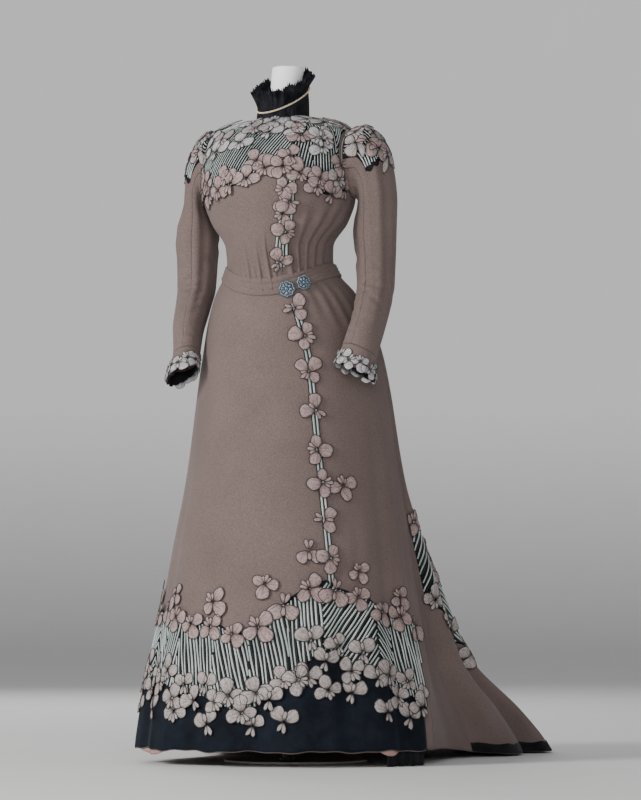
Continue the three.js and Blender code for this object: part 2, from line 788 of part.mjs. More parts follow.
// ---------------------------------------------------------------- applied flowers
const SKIRT_FLOWERS = 10;
const FLOWER_SIZE = { radius: 18, sway: 2.4, top: 962, bottom: 400 };
const FLOWER_REST = REST + STRIP_THICK + 0.6;

function flower(source, turn, level, radius, rest) {
  const { point, normal } = spot(source, turn, level);
  const across = new THREE.Vector3(0, 0, 1).cross(normal).normalize();
  const up = normal.clone().cross(across);
  const ring = (size, lift) => range(0, 360 - 360 / FLOWER.rimPoints, 360 / FLOWER.rimPoints).map((a) => {
    const angle = radians(a);
    const petal = size * (0.8 + 0.2 * Math.cos(FLOWER.lobes * angle));
    return point.clone()
      .addScaledVector(across, petal * Math.cos(angle))
      .addScaledVector(up, petal * Math.sin(angle))
      .addScaledVector(normal, rest + lift);
  });
  const rings = [ring(radius, 0), ring(radius, FLOWER.edge), ring(radius * 0.4, FLOWER.dome)];
  return stack(rings);
}

function skirtFlower(index) {
  const part = index / (SKIRT_FLOWERS - 1);
  const level = mix(FLOWER_SIZE.top, FLOWER_SIZE.bottom, part);
  const turn = rowAt(SKIRT_STRIP, 'level', level).turn + FLOWER_SIZE.sway * (index % 2 ? 1 : -1);
  return flower(skirtFront, turn, level, FLOWER_SIZE.radius, FLOWER_REST);
}

const BODICE_FLOWERS = table(['turn', 'level', 'radius', 'lift'], [
  [25, 1096, 14, 0],
  [25, 1144, 15, 0],
  [25, 1200, 14, 0.8],
]);

// ---------------------------------------------------------------- underskirt frill
const FLOUNCE = {
  from: 57, to: 82, step: 1.25, top: 74, foot: 1, inside: 4.5, wave: 2.6, waves: 8, wall: 1.2,
};

// The black frill inside the hem hangs from the front panel and touches the floor.
function flounce() {
  const turns = range(FLOUNCE.from, FLOUNCE.to, FLOUNCE.step);
  const ring = (level, waving) => turns.map((turn) => {
    const { point, normal } = spot(skirtFront, turn, Math.max(level, FRONT_HEM));
    const part = (turn - FLOUNCE.from) / (FLOUNCE.to - FLOUNCE.from);
    const wave = FLOUNCE.wave * waving * Math.sin(2 * Math.PI * FLOUNCE.waves * part);
    const inside = CLOTH + REST + 0.4 + FLOUNCE.inside * waving - wave;
    const moved = point.clone().addScaledVector(normal, -inside);
    moved.z = level;
    return moved;
  });
  const points = [ring(FLOUNCE.foot, 1), ring(FRONT_HEM, 1), ring(FLOUNCE.top, 0)];
  return wall(grid(points), -FLOUNCE.wall, 0);
}

// ---------------------------------------------------------------- dress form and stand
// The form's hips, free of the skirt.
const FORM_HIPS = table(['z', 'half', 'front', 'back', 'middle'], [
  [845, 150, 92, 126, 22],
  [905, 154, 99, 130, 22],
  [965, 136, 96, 114, 16],
]);
// Columns: level and how far the form lies inside the cloth's outer surface.
const FORM_INSET = table(['level', 'inset'], [
  [1030, 7],
  [1054, 7],
  [1082, 10],
  [1134, 12],
  [1180, 10],
  [1230, 7],
  [1270, 3],
  [1300, 2.6],
  [1352, 2.6],
]);
// The form's neck leans a little: how far each ring lies to the left and behind the collar's middle.
const FORM_NECK = table(['z', 'radius', 'aside', 'behind'], [
  [1357, 46, 0, 0],
  [1374, 36, 2, 3],
  [1400, 33.5, 4, 5],
  [1450, 33.5, 7, 9],
  [1466, 29, 8, 10],
]);
const STAND = {
  poleY: 45, poleRadius: 9, plateY: 95, plateRadius: 150, plateThick: 4, foot: 16, footThick: 5,
};
const FORM_BOTTOM = FORM_HIPS[0].z;
const FORM_STEP = 15;

function formTorso() {
  const turns = range(0, 360 - FORM_STEP, FORM_STEP);
  const hips = FORM_HIPS.map((row) => turns.map((turn) => {
    const ahead = Math.cos(radians(turn));
    const reach = ahead > 0 ? row.middle + row.front : row.back - row.middle;
    return new THREE.Vector3(row.half * Math.sin(radians(turn)), row.middle - reach * ahead, row.z);
  }));
  const source = panel(turns, BODICE_LEVELS, bodyPoint, true);
  const body = movedOut(source, (i) => -rowAt(FORM_INSET, 'level', BODICE_LEVELS[i]).inset);
  const neck = FORM_NECK.map((row) => {
    const ring = neckRing(() => row.radius, () => row.z, FORM_STEP);
    return ring.map((point) => point.add(new THREE.Vector3(row.aside, row.behind, 0)));
  });
  return stack([...hips, ...body, ...neck]);
}

function disc(radius, from, to, y, sides = 24) {
  const geometry = new THREE.CylinderGeometry(radius, radius, to - from, sides);
  geometry.rotateX(Math.PI / 2);
  geometry.translate(0, y, (from + to) / 2);
  return geometry;
}

function formPole() {
  const foot = STAND.plateThick + STAND.footThick + SEAM;
  return disc(STAND.poleRadius, foot, FORM_BOTTOM - SEAM, STAND.poleY, 16);
}

function formFoot() {
  const top = STAND.plateThick + STAND.footThick;
  return disc(STAND.foot, STAND.plateThick + 0.3, top, STAND.poleY);
}

function formBase() {
  return disc(STAND.plateRadius, 0, STAND.plateThick, STAND.plateY, 40);
}

// ---------------------------------------------------------------- assembly
const dress = new THREE.Group();

function add(name, geometry, material) {
  const mesh = new THREE.Mesh(geometry, material);
  mesh.name = name;
  dress.add(mesh);
}

function addPair(name, shape, material) {
  add(`${name}_left`, shape(1), material);
  add(`${name}_right`, mirrored(shape(-1)), material);
}

add('bodice_front_right', bodiceFrontRight(), WOOL);
add('bodice_front_left', bodiceFrontLeft(), WOOL);
add('bodice_back', bodiceBack(), WOOL);
add('yoke_front_right', yokePiece(range(-YOKE.edge, CLOSING, 8), yokeFrontLow, [-1]), PETAL);
add('yoke_front_left', yokePiece(range(CLOSING + 0.5, YOKE.edge, 8), yokeFrontLow, [1]), PETAL);
add('yoke_back', yokePiece(BACK_TURNS, () => YOKE.backLow, [-1, 1]), PETAL);
add('collar_stand', collarStand(), DARK);
add('collar_cord', collarCord(), CREAM);
add('collar_frill', collarFrill(), DARK);
addPair('sleeve_upper', upperSleeve, WOOL);
addPair('sleeve_under', underSleeve, WOOL);
addPair('sleeve_cap', sleeveCap, PETAL);
addPair('cuff', cuff, PETAL);
addPair('cuff_lining', cuffLining, DARK);
add('belt', belt(), WOOL);
add('clasp_right', claspPlate(0), METAL);
add('clasp_left', claspPlate(1), METAL);
add('skirt_front', wall(skirtFront, -CLOTH, 0), WOOL);
add('skirt_back_left', wall(backHalf(BACK_EDGE, 180), -CLOTH, 0), WOOL);
add('skirt_back_right', wall(backHalf(180, 360 - BACK_EDGE), -CLOTH, 0), WOOL);
add('hem_panel', hemPanel(), NAVY);
const bandTurns = range(-BAND.edge, BAND.edge, BAND.step);
add('border_band', borderBand(skirtFront, BORDER, bandTurns, BAND_REST), STRIPE);
const trainTurns = range(TRAIN_BORDER[0].turn, 176, BAND.step);
const trainBorder = (turns) => borderBand(skirtBack, TRAIN_BORDER, turns, TRAIN_REST);
add('train_border_left', trainBorder(trainTurns), STRIPE);
add('train_border_right', trainBorder(trainTurns.map((turn) => turn + 80)), STRIPE);
add('train_binding', trainBinding(), DARK);
add('strip_bodice', strip(torso, BODICE_STRIP), STRIPE);
add('strip_skirt', strip(skirtFront, SKIRT_STRIP), STRIPE);
for (let i = 0; i < SKIRT_FLOWERS; i += 1) {
  add(`flower_skirt_${i + 1}`, skirtFlower(i), PETAL);
}
BODICE_FLOWERS.forEach((row, i) => {
  const shape = flower(torso, row.turn, row.level, row.radius, FLOWER_REST + row.lift);
  add(`flower_bodice_${i + 1}`, shape, PETAL);
});
add('flounce', flounce(), DARK);
add('form_torso', formTorso(), FORM);
add('form_pole', formPole(), STEEL);
add('form_foot', formFoot(), PLATE);
add('form_base', formBase(), PLATE);

export default dress;
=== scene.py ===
"""The looks of a day dress of about 1900 on its limbless dress form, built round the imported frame.

Tables and shapes are in millimetres, with +Z up, the front facing -Y and the wearer's left at +X.
A turn is an angle round the body in degrees: 0 is the front, 90 the wearer's left.
A level is the height of a horizontal section at the side seams.
Objects are made in metres.
"""

import math

import bpy
import numpy as np
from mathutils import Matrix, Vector


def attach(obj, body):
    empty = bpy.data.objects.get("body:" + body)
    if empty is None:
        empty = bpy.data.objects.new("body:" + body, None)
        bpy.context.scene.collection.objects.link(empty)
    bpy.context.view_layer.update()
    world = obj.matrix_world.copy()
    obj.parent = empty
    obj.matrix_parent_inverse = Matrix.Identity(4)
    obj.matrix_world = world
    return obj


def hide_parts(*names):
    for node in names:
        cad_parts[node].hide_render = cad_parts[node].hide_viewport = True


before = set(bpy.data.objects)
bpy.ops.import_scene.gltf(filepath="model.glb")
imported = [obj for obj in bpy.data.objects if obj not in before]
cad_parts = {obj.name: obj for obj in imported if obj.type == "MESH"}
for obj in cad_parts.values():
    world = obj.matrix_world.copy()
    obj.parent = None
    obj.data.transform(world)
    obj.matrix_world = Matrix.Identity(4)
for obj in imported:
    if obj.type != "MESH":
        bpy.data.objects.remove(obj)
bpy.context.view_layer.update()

# ---------------------------------------------------------------- driving sizes, as in the solids
MM = 0.001
CLOTH = 1.6
WAIST = 1030
FRONT_HEM = 31
TRAIN_HEM = 3
NECK = 1352
NECK_Y = 18
FRONT_DIP = 46
BACK_RISE = 12
DIP_LOW = 845
DIP_HIGH = 1134
FRONT_EDGE = 88
BACK_EDGE = 84
SIDE_SEAM = 96
CLOSING = 24
FLOOR = 0.5
SLOPED = 95  # below this level the back's rings slope from the front's hem to the train's
HEM_SWING = 110  # below this level the front hem swings a little up and down
# The armhole's middle and half sizes. It lies farther aside than chest.
ARMHOLE = {"y": 10, "z": 1250, "half_height": 69, "half_depth": 55, "chest": 90}
SHOULDER = 1318  # above this level the body's side is taken as wide as at it

SECTION_NAMES = ("level", "half", "front", "back", "middle", "train", "square")
SECTION_ROWS = (
    (3, 326, 232, 980, 57, 460, 3),
    (31, 325, 231, 945, 58, 450, 2.95),
    (95, 318, 226, 850, 63, 415, 2.8),
    (215, 298, 214, 664, 78, 326, 2.5),
    (341, 275, 199, 540, 95, 292, 2.35),
    (467, 255, 180, 404, 104, 262, 2.25),
    (593, 233, 157, 292, 111, 230, 2.1),
    (845, 195, 126, 235, 95, 195, 2),
    (915, 178, 121, 205, 75, 178, 2),
    (985, 150, 116, 155, 40, 150, 2),
    (1030, 119, 110, 108, 10, 119, 2),
    (1054, 111, 118, 102, 8, 111, 2),
    (1082, 112, 132, 98, 8, 112, 2),
    (1134, 146, 150, 98, 8, 146, 2),
    (1180, 162, 160, 103, 8, 162, 2),
    (1230, 165, 150, 107, 9, 165, 2),
    (1270, 163, 130, 107, 10, 163, 2),
    (1300, 158, 108, 100, 12, 158, 2),
    (1325, 146, 83, 92, 15, 146, 2),
    (1342, 111, 58, 84, 17.5, 111, 2),
    (1352, 57, 39, 75, 18, 57, 2),
)

# Folds of the back panel: turn of the trough, half its spread, its depth at the floor
# and the level where it begins. The shallow ones are the uneven creases between the main folds.
MAIN_FOLDS = (
    (98, 10, 46, 985), (117, 8, 26, 720), (133, 8, 34, 845), (150, 9, 38, 915), (168, 8, 34, 985),
    (192, 8, 34, 985), (210, 9, 38, 915), (227, 8, 34, 845), (243, 8, 26, 720), (262, 10, 46, 985),
)
FINE_FOLDS = (
    (91.5, 4, 20, 700), (104, 4.5, 30, 760), (119, 4, 27, 640), (134, 4, 28, 700), (149, 4, 24, 700),
    (165, 4, 18, 700), (180, 5, 5, 930), (196, 4, 18, 680), (211, 4, 24, 660), (226, 4, 28, 640),
    (241, 4, 27, 640), (256, 4.5, 30, 720), (268.5, 4, 18, 660),
)
# Soft flutes of the front panel, in the same columns. A negative depth swells out.
FLUTES = (
    (-80, 7, 8, 620), (-66, 8, -5, 540), (-52, 7, 9, 700), (-36, 9, -5, 480), (-21, 7, 7.5, 430),
    (-8, 8, -4.5, 520), (6, 6, 7, 380), (22, 8, -5, 460), (41, 7, 8.5, 560), (55, 7, -6, 760),
    (66, 6, 11, 880), (76, 5, -6, 820), (82, 4, 7, 700),
)

# The wave of the striped border on the front: level of its upper and lower edge.
BORDER = (
    (-88, 170, 312), (-48, 172, 318), (-16, 142, 290), (0, 112, 272), (12, 150, 328),
    (32, 238, 380), (48, 200, 352), (64, 152, 318), (88, 116, 282),
)
# The same border on the train, with the turn counted from the front on either side.
TRAIN_BORDER = ((104, 330, 520), (120, 250, 410), (140, 215, 360), (160, 260, 400), (179, 300, 440))

SLEEVE_NAMES = ("out_x", "out_z", "in_x", "in_z", "middle_y", "depth", "lean")
SLEEVE_ROWS = (
    (150, 1318.4, 164, 1181.6, 10, 54.4, 0),
    (163, 1321, 173, 1180, 12, 57, 0),
    (186, 1331, 173, 1176, 20, 60, 0),
    (205, 1320, 172, 1170, 24, 61, 0),
    (226, 1290, 170, 1161, 27, 61, 0),
    (240, 1240, 166, 1149, 29, 60, 0),
    (246, 1180, 160, 1134, 31, 58, 0),
    (245, 1125, 156, 1106, 33, 55, 0),
    (242, 1060, 160, 1060, 37, 51, 0),
    (240, 1000, 163, 1006, 34, 48, 6),
    (238, 955, 166, 968, 14, 45, 18),
    (235, 910, 167, 926, -14, 42, 28),
    (231, 866, 162, 886, -40, 40, 28),
    (230, 846, 159, 866, -52, 38, 24),
)
SLEEVE_LAST = len(SLEEVE_ROWS) - 1
# The wearer's right sleeve: how much narrower its head and its wrist are, and from which height.
RIGHT_SLEEVE = {"head": 25, "head_from": 1100, "wrist": 12, "wrist_from": 930}
CUFF_ROWS = (
    (230, 845.5, 159, 865.5, -52.3, 38, 24),
    (233, 824, 156, 850, -63, 38, 18),
    (236, 796, 153, 836, -75, 38, 12),
)

COLLAR = {
    "radius": 56, "waist": 53, "cord": 2.2,
    "cord_middle": 1399, "cord_front": 30, "cord_side": 14,
    "rim_middle": 1432, "rim_front": 26, "rim_side": 10,
    "frill_foot": 53.5, "frill_rim": 63, "waves": 20, "wave": 3.6,
}
YOKE = {"top": 1349, "rise": 1240, "lobe": 56, "right": 60, "left": 36, "back_low": 1206, "edge": 88}
BELT = {"low": 1018, "high": 1046, "folds": 3, "rest": 0.9, "thick": 2.4, "fold": 1.4}
CLASPS = ((24.5, 1024, 18.6, 5.7), (41, 1027, 16.8, 6.1))  # turn, level, radius, lift
BODICE_STRIP = ((1060, 24, 13), (1096, 24.5, 14), (1134, 25, 15), (1180, 25, 15.5), (1212, 25, 15))
SKIRT_STRIP = (
    (372, 37, 7), (467, 36, 7), (593, 34, 7), (720, 32, 7), (845, 30, 7), (915, 28, 7), (985, 26.5, 7),
)
FORM_HIPS = ((845, 150, 92, 126, 22), (905, 154, 99, 130, 22), (965, 136, 96, 114, 16))
FORM_INSET = (
    (1030, 7), (1054, 7), (1082, 10), (1134, 12), (1180, 10), (1230, 7), (1270, 3), (1300, 2.6), (1352, 2.6),
)
# The form's neck: height, radius, how far aside and behind.
FORM_NECK = ((1357, 46, 0, 0), (1374, 36, 2, 3), (1400, 33.5, 4, 5), (1450, 33.5, 7, 9), (1466, 29, 8, 10))

LEAST = 1e-9


# ---------------------------------------------------------------- numbers
def ease(value):
    part = np.clip(value, 0, 1)
    return part * part * (3 - 2 * part)


def mix(start, end, part):
    return start + (end - start) * part


def spread(first, last, step):
    return np.linspace(first, last, max(1, round((last - first) / step)) + 1)


def smooth(x, y, at):
    """A monotone cubic through the points of a table, so that a curve never overshoots it."""
    gap = np.diff(x)
    rise = np.diff(y) / gap
    same = rise[:-1] * rise[1:] > 0
    safe = np.where(np.abs(rise) < LEAST, LEAST, rise)
    first, second = 2 * gap[1:] + gap[:-1], gap[1:] + 2 * gap[:-1]
    inner = np.where(same, (first + second) / (first / safe[:-1] + second / safe[1:]), 0)
    slope = np.concatenate([rise[:1], inner, rise[-1:]])
    i = np.clip(np.searchsorted(x, at) - 1, 0, len(x) - 2)
    t = (at - x[i]) / gap[i]
    start = (1 + 2 * t) * (1 - t) ** 2 * y[i] + t * (1 - t) ** 2 * gap[i] * slope[i]
    end = t * t * (3 - 2 * t) * y[i + 1] + t * t * (t - 1) * gap[i] * slope[i + 1]
    return start + end


def fine_table(names, rows, along):
    """A table sampled finely along a smooth curve through its rows, with the row number as a column."""
    table = dict(zip(names, np.array(rows, float).T))
    table["row"] = np.arange(len(rows), dtype=float)
    steps = sum(np.diff(table[name]) ** 2 for name in along)
    length = np.concatenate([[0], np.cumsum(np.sqrt(steps))])
    at = np.linspace(0, length[-1], 4000)
    return {name: smooth(length, column, at) for name, column in table.items()}


SECTIONS = fine_table(SECTION_NAMES, SECTION_ROWS, ("level", "half", "front"))
SLEEVE = fine_table(SLEEVE_NAMES, SLEEVE_ROWS, ("out_x", "out_z", "in_z", "middle_y"))
CUFF = fine_table(SLEEVE_NAMES, CUFF_ROWS, ("out_z", "middle_y"))


def looked_up(table, key, value, names):
    return {name: np.interp(value, table[key], table[name]) for name in names}


def wave_at(rows, turn):
    """Lower and upper edge of a border, eased between its rows, so that they run in soft waves."""
    turns, lows, highs = np.array(rows, float).T
    i = np.clip(np.searchsorted(turns, turn) - 1, 0, len(turns) - 2)
    part = ease((turn - turns[i]) / (turns[i + 1] - turns[i]))
    return mix(lows[i], lows[i + 1], part), mix(highs[i], highs[i + 1], part)


def run_length(points):
    """The distance along a line of points to each of them."""
    return np.concatenate([[0], np.cumsum(np.linalg.norm(np.diff(points, axis=0), axis=1))])


def wrapped(turn):
    """A turn between -180 and 180."""
    return (np.asarray(turn, float) + 180) % 360 - 180


def band_of(value, middle, half):
    """1 at the middle of a fold, falling in a cosine to 0 half its spread away."""
    return np.cos(np.clip((value - middle) / half, -1, 1) * math.pi / 2) ** 2


def bell(value, middle=0.0, half=1.0):
    return np.exp(-(((value - middle) / half) ** 2))


def alike(*values):
    """Numbers and arrays as float arrays of one shape."""
    return np.broadcast_arrays(*(np.asarray(value, float) for value in values))


def unit(vectors):
    return vectors / np.maximum(np.linalg.norm(vectors, axis=-1, keepdims=True), LEAST)


# ---------------------------------------------------------------- surfaces
def waist_dip(turn, level):
    ahead = np.cos(np.radians(turn))
    reach = np.where(ahead > 0, -FRONT_DIP, BACK_RISE)
    below = (level - DIP_LOW) / (WAIST - DIP_LOW)
    above = (DIP_HIGH - level) / (DIP_HIGH - WAIST)
    return reach * ahead**2 * np.clip(np.minimum(below, above), 0, 1)


def body(turn, level):
    turn, level = alike(turn, level)
    row = looked_up(SECTIONS, "level", level, SECTION_NAMES[1:])
    side = np.sin(np.radians(turn))
    ahead = np.cos(np.radians(turn))
    power = 2 / row["square"]
    past = (np.abs(wrapped(turn)) - 90) / 45
    half = mix(row["half"], row["train"], ease(past))
    back_x = half * np.sign(side) * np.abs(side) ** power
    back_y = row["middle"] + (row["back"] - row["middle"]) * np.abs(ahead) ** power
    front_y = row["middle"] - (row["middle"] + row["front"]) * ahead
    x = np.where(ahead >= 0, row["half"] * side, back_x)
    y = np.where(ahead >= 0, front_y, back_y)
    return np.stack([x, y, level + waist_dip(turn, level)], -1)


def moved_in(turn, level, depth):
    """A point of the body's surface moved level inward."""
    along = body(turn + 0.5, level) - body(turn - 0.5, level)
    inward = unit(np.stack([-along[..., 1], along[..., 0], 0 * along[..., 0]], -1))
    return body(turn, level) + inward * depth[..., None]


def fold_sum(folds, turn, level, foot):
    """How deep the folds of a table are there; each begins softly at its top and grows to its foot."""
    total = np.zeros(np.broadcast(turn, level).shape)
    for middle, half, depth, top in folds:
        swing = 0.9 * np.sin(level / 170 + middle)
        growth = np.clip((top - level) / (top - foot), 0, 1)
        total += depth * growth ** 1.15 * band_of(turn, middle + swing, half)
    return total


def hip_sum(turn, level):
    total = np.zeros(turn.shape)
    for middle, half, depth, height, reach, lean in HIP_FOLDS:
        across = (turn - middle + lean * (level - height)) / half
        total += depth * (bell(across) - 0.5 * bell(across, -1.5)) * band_of(level, height, reach)
    return total


def skirt_front_shape(turn, level):
    turn, level = alike(turn, level)
    fade = ease((FRONT_EDGE - np.abs(turn)) / 8)
    folds = fold_sum(FLUTES, turn, level, FRONT_HEM) + hip_sum(turn, level)
    point = moved_in(turn, level, folds * fade)
    swing = 2.2 * np.sin(turn * 0.23 + 1) + 1.4 * np.sin(turn * 0.57)
    point[..., 2] += swing * fade * ease((HEM_SWING - level) / HEM_SWING)
    return point


def skirt_back_shape(turn, level):
    """The back panel: its hem starts as high as the front's and sinks to the floor."""
    turn, level = alike(turn, level)
    hem_edge = np.minimum(turn - BACK_EDGE, 360 - BACK_EDGE - turn)
    hem = mix(FRONT_HEM, TRAIN_HEM, ease((hem_edge - 4) / 24))
    height = np.where(level < SLOPED, mix(hem, SLOPED, (level - TRAIN_HEM) / (SLOPED - TRAIN_HEM)), level)
    seam_edge = np.minimum(turn - FRONT_EDGE, 360 - FRONT_EDGE - turn)
    tucked = 3.8 * (1 - ease(seam_edge / 5))
    deep = np.zeros(turn.shape)
    for middle, half, depth, top in MAIN_FOLDS:
        growth = np.clip((top - height) / (top - TRAIN_HEM), 0, 1)
        deep = np.maximum(deep, depth * growth * band_of(turn, middle, half))
    fine = fold_sum(FINE_FOLDS, turn, height, TRAIN_HEM) * ease((seam_edge - 8) / 8)
    return moved_in(turn, height, np.maximum(tucked, deep) + fine)


# Tucks of the right front above the belt: turn at the belt, length, depth.
TUCKS = (
    (-25, 30, 3), (-19, 24, 1.8), (-12.5, 66, 4), (-6, 36, 2), (0.8, 64, 4.2), (10.8, 84, 4.6), (17, 40, 2.4),
)
# Drawn folds of the left front: turn at the belt, turn at the top, top level, half spread, depth.
DRAWN = (
    (33, 28, 1128, 3.2, 5.2), (40.5, 41, 1176, 3.2, 5), (48, 60, 1208, 3.6, 5), (57, 74, 1214, 4.2, 4.4),
    (69, 84, 1192, 5, 3),
)
DRAWN_RIGHT = ((-88, -78, 1180, 5, 1.8), (-70, -62, 1160, 5, 1.6), (-54, -48, 1140, 5, 1.4))
# Soft folds over the hips: turn, half spread, depth, level of the middle, half length, lean in degrees a mm.
HIP_FOLDS = (
    (46, 3.4, 2.4, 985, 60, 0.03), (57, 3.6, 3.6, 960, 80, 0.04), (68, 4, 4.4, 940, 100, 0.05),
    (79, 3.6, 3.2, 925, 90, 0.04), (-60, 5, 2, 950, 80, -0.02), (-76, 4.5, 2.6, 930, 90, -0.03),
)


def bodice_relief(turn, level):
    """Height of the tucks and drawn folds over the body's surface."""
    belt_top = BELT["high"]
    relief = np.zeros(np.broadcast(turn, level).shape)
    for at_belt, length, depth in TUCKS:
        above = (level - belt_top) / length
        across = (turn - at_belt + 0.05 * (level - belt_top)) / 5
        tooth = 1.2 * np.where(across < 0, ease(1 + across), ease(1 - across * 4.5))
        relief += depth * tooth * (1 - ease(above)) * (np.abs(across) < 1)
    for at_belt, at_top, top, half, depth in DRAWN + DRAWN_RIGHT:
        part = np.clip((level - belt_top) / (top - belt_top), 0, 1)
        across = (turn - mix(at_belt, at_top, part)) / (half * (1 + 0.8 * part))
        ridge = np.exp(-(across**2) * 1.6) - 0.6 * np.exp(-((across - 1.1) ** 2) * 3)
        relief += depth * ridge * (1 - ease((part - 0.35) / 0.65)) * ease((level - WAIST) / 20)
    return relief


def bodice_shape(turn, level):
    turn, level = alike(turn, level)
    return moved_in(turn, level, -bodice_relief(wrapped(turn), level))


def side_reach(y, z):
    row = looked_up(SECTIONS, "level", np.minimum(z, SHOULDER), SECTION_NAMES[1:5])
    reach = np.where(y < row["middle"], row["middle"] + row["front"], row["back"] - row["middle"])
    part = np.clip((y - row["middle"]) / reach, -1, 1)
    return row["half"] * np.sqrt(1 - part**2)


def tube_point(table, around, row_number, side):
    """A point of a sleeve or cuff. around is 0 at its outer edge and 90 at its front."""
    row = looked_up(table, "row", row_number, SLEEVE_NAMES)
    if side < 0:
        head = RIGHT_SLEEVE["head"] * ease((row["out_z"] - RIGHT_SLEEVE["head_from"]) / 100)
        if table is SLEEVE:
            head = head * ease(row_number - 1)
        wrist = RIGHT_SLEEVE["wrist"] * ease((RIGHT_SLEEVE["wrist_from"] - row["out_z"]) / 100)
        row["out_x"] = row["out_x"] - head - wrist
        row["in_x"] = row["in_x"] + wrist * 0.3
    across, ahead = np.cos(np.radians(around)), np.sin(np.radians(around))
    lean = np.radians(row["lean"])
    x = mix(row["out_x"], row["in_x"], 0.5 - across / 2)
    y = row["middle_y"] - row["depth"] * np.cos(lean) * ahead
    z = mix(row["out_z"], row["in_z"], 0.5 - across / 2) + row["depth"] * np.sin(lean) * ahead
    return np.stack([x, y, z], -1)


# Creases of a sleeve: around, row, half length in degrees, half width in rows, slant, depth.
ELBOW_CREASES = (
    (70, 8.3, 44, 0.16, -0.006, 2.2), (95, 8.75, 48, 0.15, 0.004, 2.8), (80, 9.2, 52, 0.16, -0.003, 3),
    (108, 9.7, 50, 0.17, 0.006, 2.6), (60, 10.1, 40, 0.16, -0.005, 2), (200, 7.4, 38, 0.2, 0.008, 2.2),
    (165, 8.0, 44, 0.2, -0.006, 2.4), (140, 10.6, 46, 0.16, 0.004, 1.8), (20, 7.2, 34, 0.22, -0.008, 1.5),
    (70, 11.2, 36, 0.14, 0.005, 1.5), (120, 11.8, 40, 0.14, -0.004, 1.6), (330, 9.4, 30, 0.2, 0.006, 1.2),
)


def sleeve_relief(around, row_number, side):
    turned = (around + 360) % 360
    relief = np.zeros(np.broadcast(around, row_number).shape)
    for middle, row, long, wide, slant, depth in ELBOW_CREASES:
        away = wrapped(turned - middle)
        across = (row_number - row - slant * away * (1 if side > 0 else -1)) / wide
        trough = bell(across) - 0.5 * bell(across, 1.7) - 0.4 * bell(across, -1.8)
        relief -= depth * trough * band_of(away, 0, long)
    angle = np.radians(turned)
    gathers = np.sin(angle * 17 + 1.3 * np.sin(angle * 3))
    upright = np.sin(angle * 7 + 0.6) + 0.6 * np.sin(angle * 11 + 2 + row_number * 0.3)
    relief += 1.5 * gathers * ease((3.4 - row_number) / 2.2) * ease(row_number / 1.2)
    relief += 1.3 * upright * ease((row_number - 2.5) / 2) * (1 - ease((row_number - 9) / 3))
    return relief


def sleeve_shape(side):
    """One sleeve; its first row follows the bodice round the armhole."""

    def smooth_shape(around, row_number):
        point = tube_point(SLEEVE, around, row_number, side)
        near = side_reach(point[..., 1], point[..., 2]) + 1 + 8 * np.clip(row_number, 0, 1)
        x = mix(near, point[..., 0], ease(row_number - 1))
        return np.stack([side * x, point[..., 1], point[..., 2]], -1)

    def shape(around, row_number):
        around, row_number = alike(around, row_number)
        base = smooth_shape(around, row_number)
        across = smooth_shape(around + 1, row_number) - smooth_shape(around - 1, row_number)
        after = np.minimum(row_number + 0.05, SLEEVE_LAST)
        along = smooth_shape(around, after) - smooth_shape(around, row_number - 0.05)
        out = unit(np.cross(across, along)) * side
        return base + out * sleeve_relief(around, row_number, side)[..., None]

    return shape


def cuff_shape(side):
    def shape(around, row_number):
        around, row_number = alike(around, row_number)
        point = tube_point(CUFF, around, np.clip(row_number, 0, 2), side)
        last, before = (tube_point(CUFF, around, row + 0 * around, side) for row in (2.0, 1.5))
        point = point + (last - before) * 2 * np.maximum(row_number - 2, 0)[..., None]
        return point * np.array([side, 1, 1])

    return shape


class Surface:
    """A shape with the steps over which its normal is measured; a turned one has left and right swapped."""

    def __init__(self, shape, u_step, v_step, turned=False):
        self.shape, self.u_step, self.v_step, self.turned = shape, u_step, v_step, turned

    def directions(self, u, v):
        across = self.shape(u + self.u_step, v) - self.shape(u - self.u_step, v)
        up = self.shape(u, v + self.v_step) - self.shape(u, v - self.v_step)
        return across / (2 * self.u_step), up / (2 * self.v_step)

    def normal(self, u, v):
        across, up = self.directions(u, v)
        out = unit(np.cross(across, up))
        return -out if self.turned else out

    def lifted(self, u, v, height):
        u, v, height = alike(u, v, height)
        point = self.shape(u, v) + self.normal(u, v) * height[..., None]
        point[..., 2] = np.maximum(point[..., 2], FLOOR)
        return point


FRONT = Surface(skirt_front_shape, 0.2, 1)
BACK = Surface(skirt_back_shape, 0.2, 1)
BODICE = Surface(bodice_shape, 0.2, 0.5)
BODY = Surface(body, 0.2, 0.5)


# ---------------------------------------------------------------- meshes
class Parts:
    """Points and faces gathered for one object."""

    def __init__(self):
        self.points, self.faces, self.stuff, self.uv = [], [], [], []
        self.count = 0

    def add(self, points, faces, stuff=0, uv=None):
        points = np.asarray(points, float).reshape(-1, 3)
        self.points.append(points)
        self.uv.append(np.zeros((len(points), 2)) if uv is None else np.asarray(uv, float).reshape(-1, 2))
        for block in faces if isinstance(faces, list) else [faces]:
            self.faces.append(np.asarray(block, int) + self.count)
            self.stuff.append(np.full(len(block), stuff))
        self.count += len(points)
        return self


def grid_quads(rows, columns, closed=False):
    i, j = np.meshgrid(np.arange(rows - 1), np.arange(columns if closed else columns - 1), indexing="ij")
    after, low, high = (j + 1) % columns, i * columns, (i + 1) * columns
    return np.stack([low + j, low + after, high + after, high + j], -1).reshape(-1, 4)


def ring_of(count):
    """Each place round a ring and the one after it."""
    j = np.arange(count)
    return j, (j + 1) % count


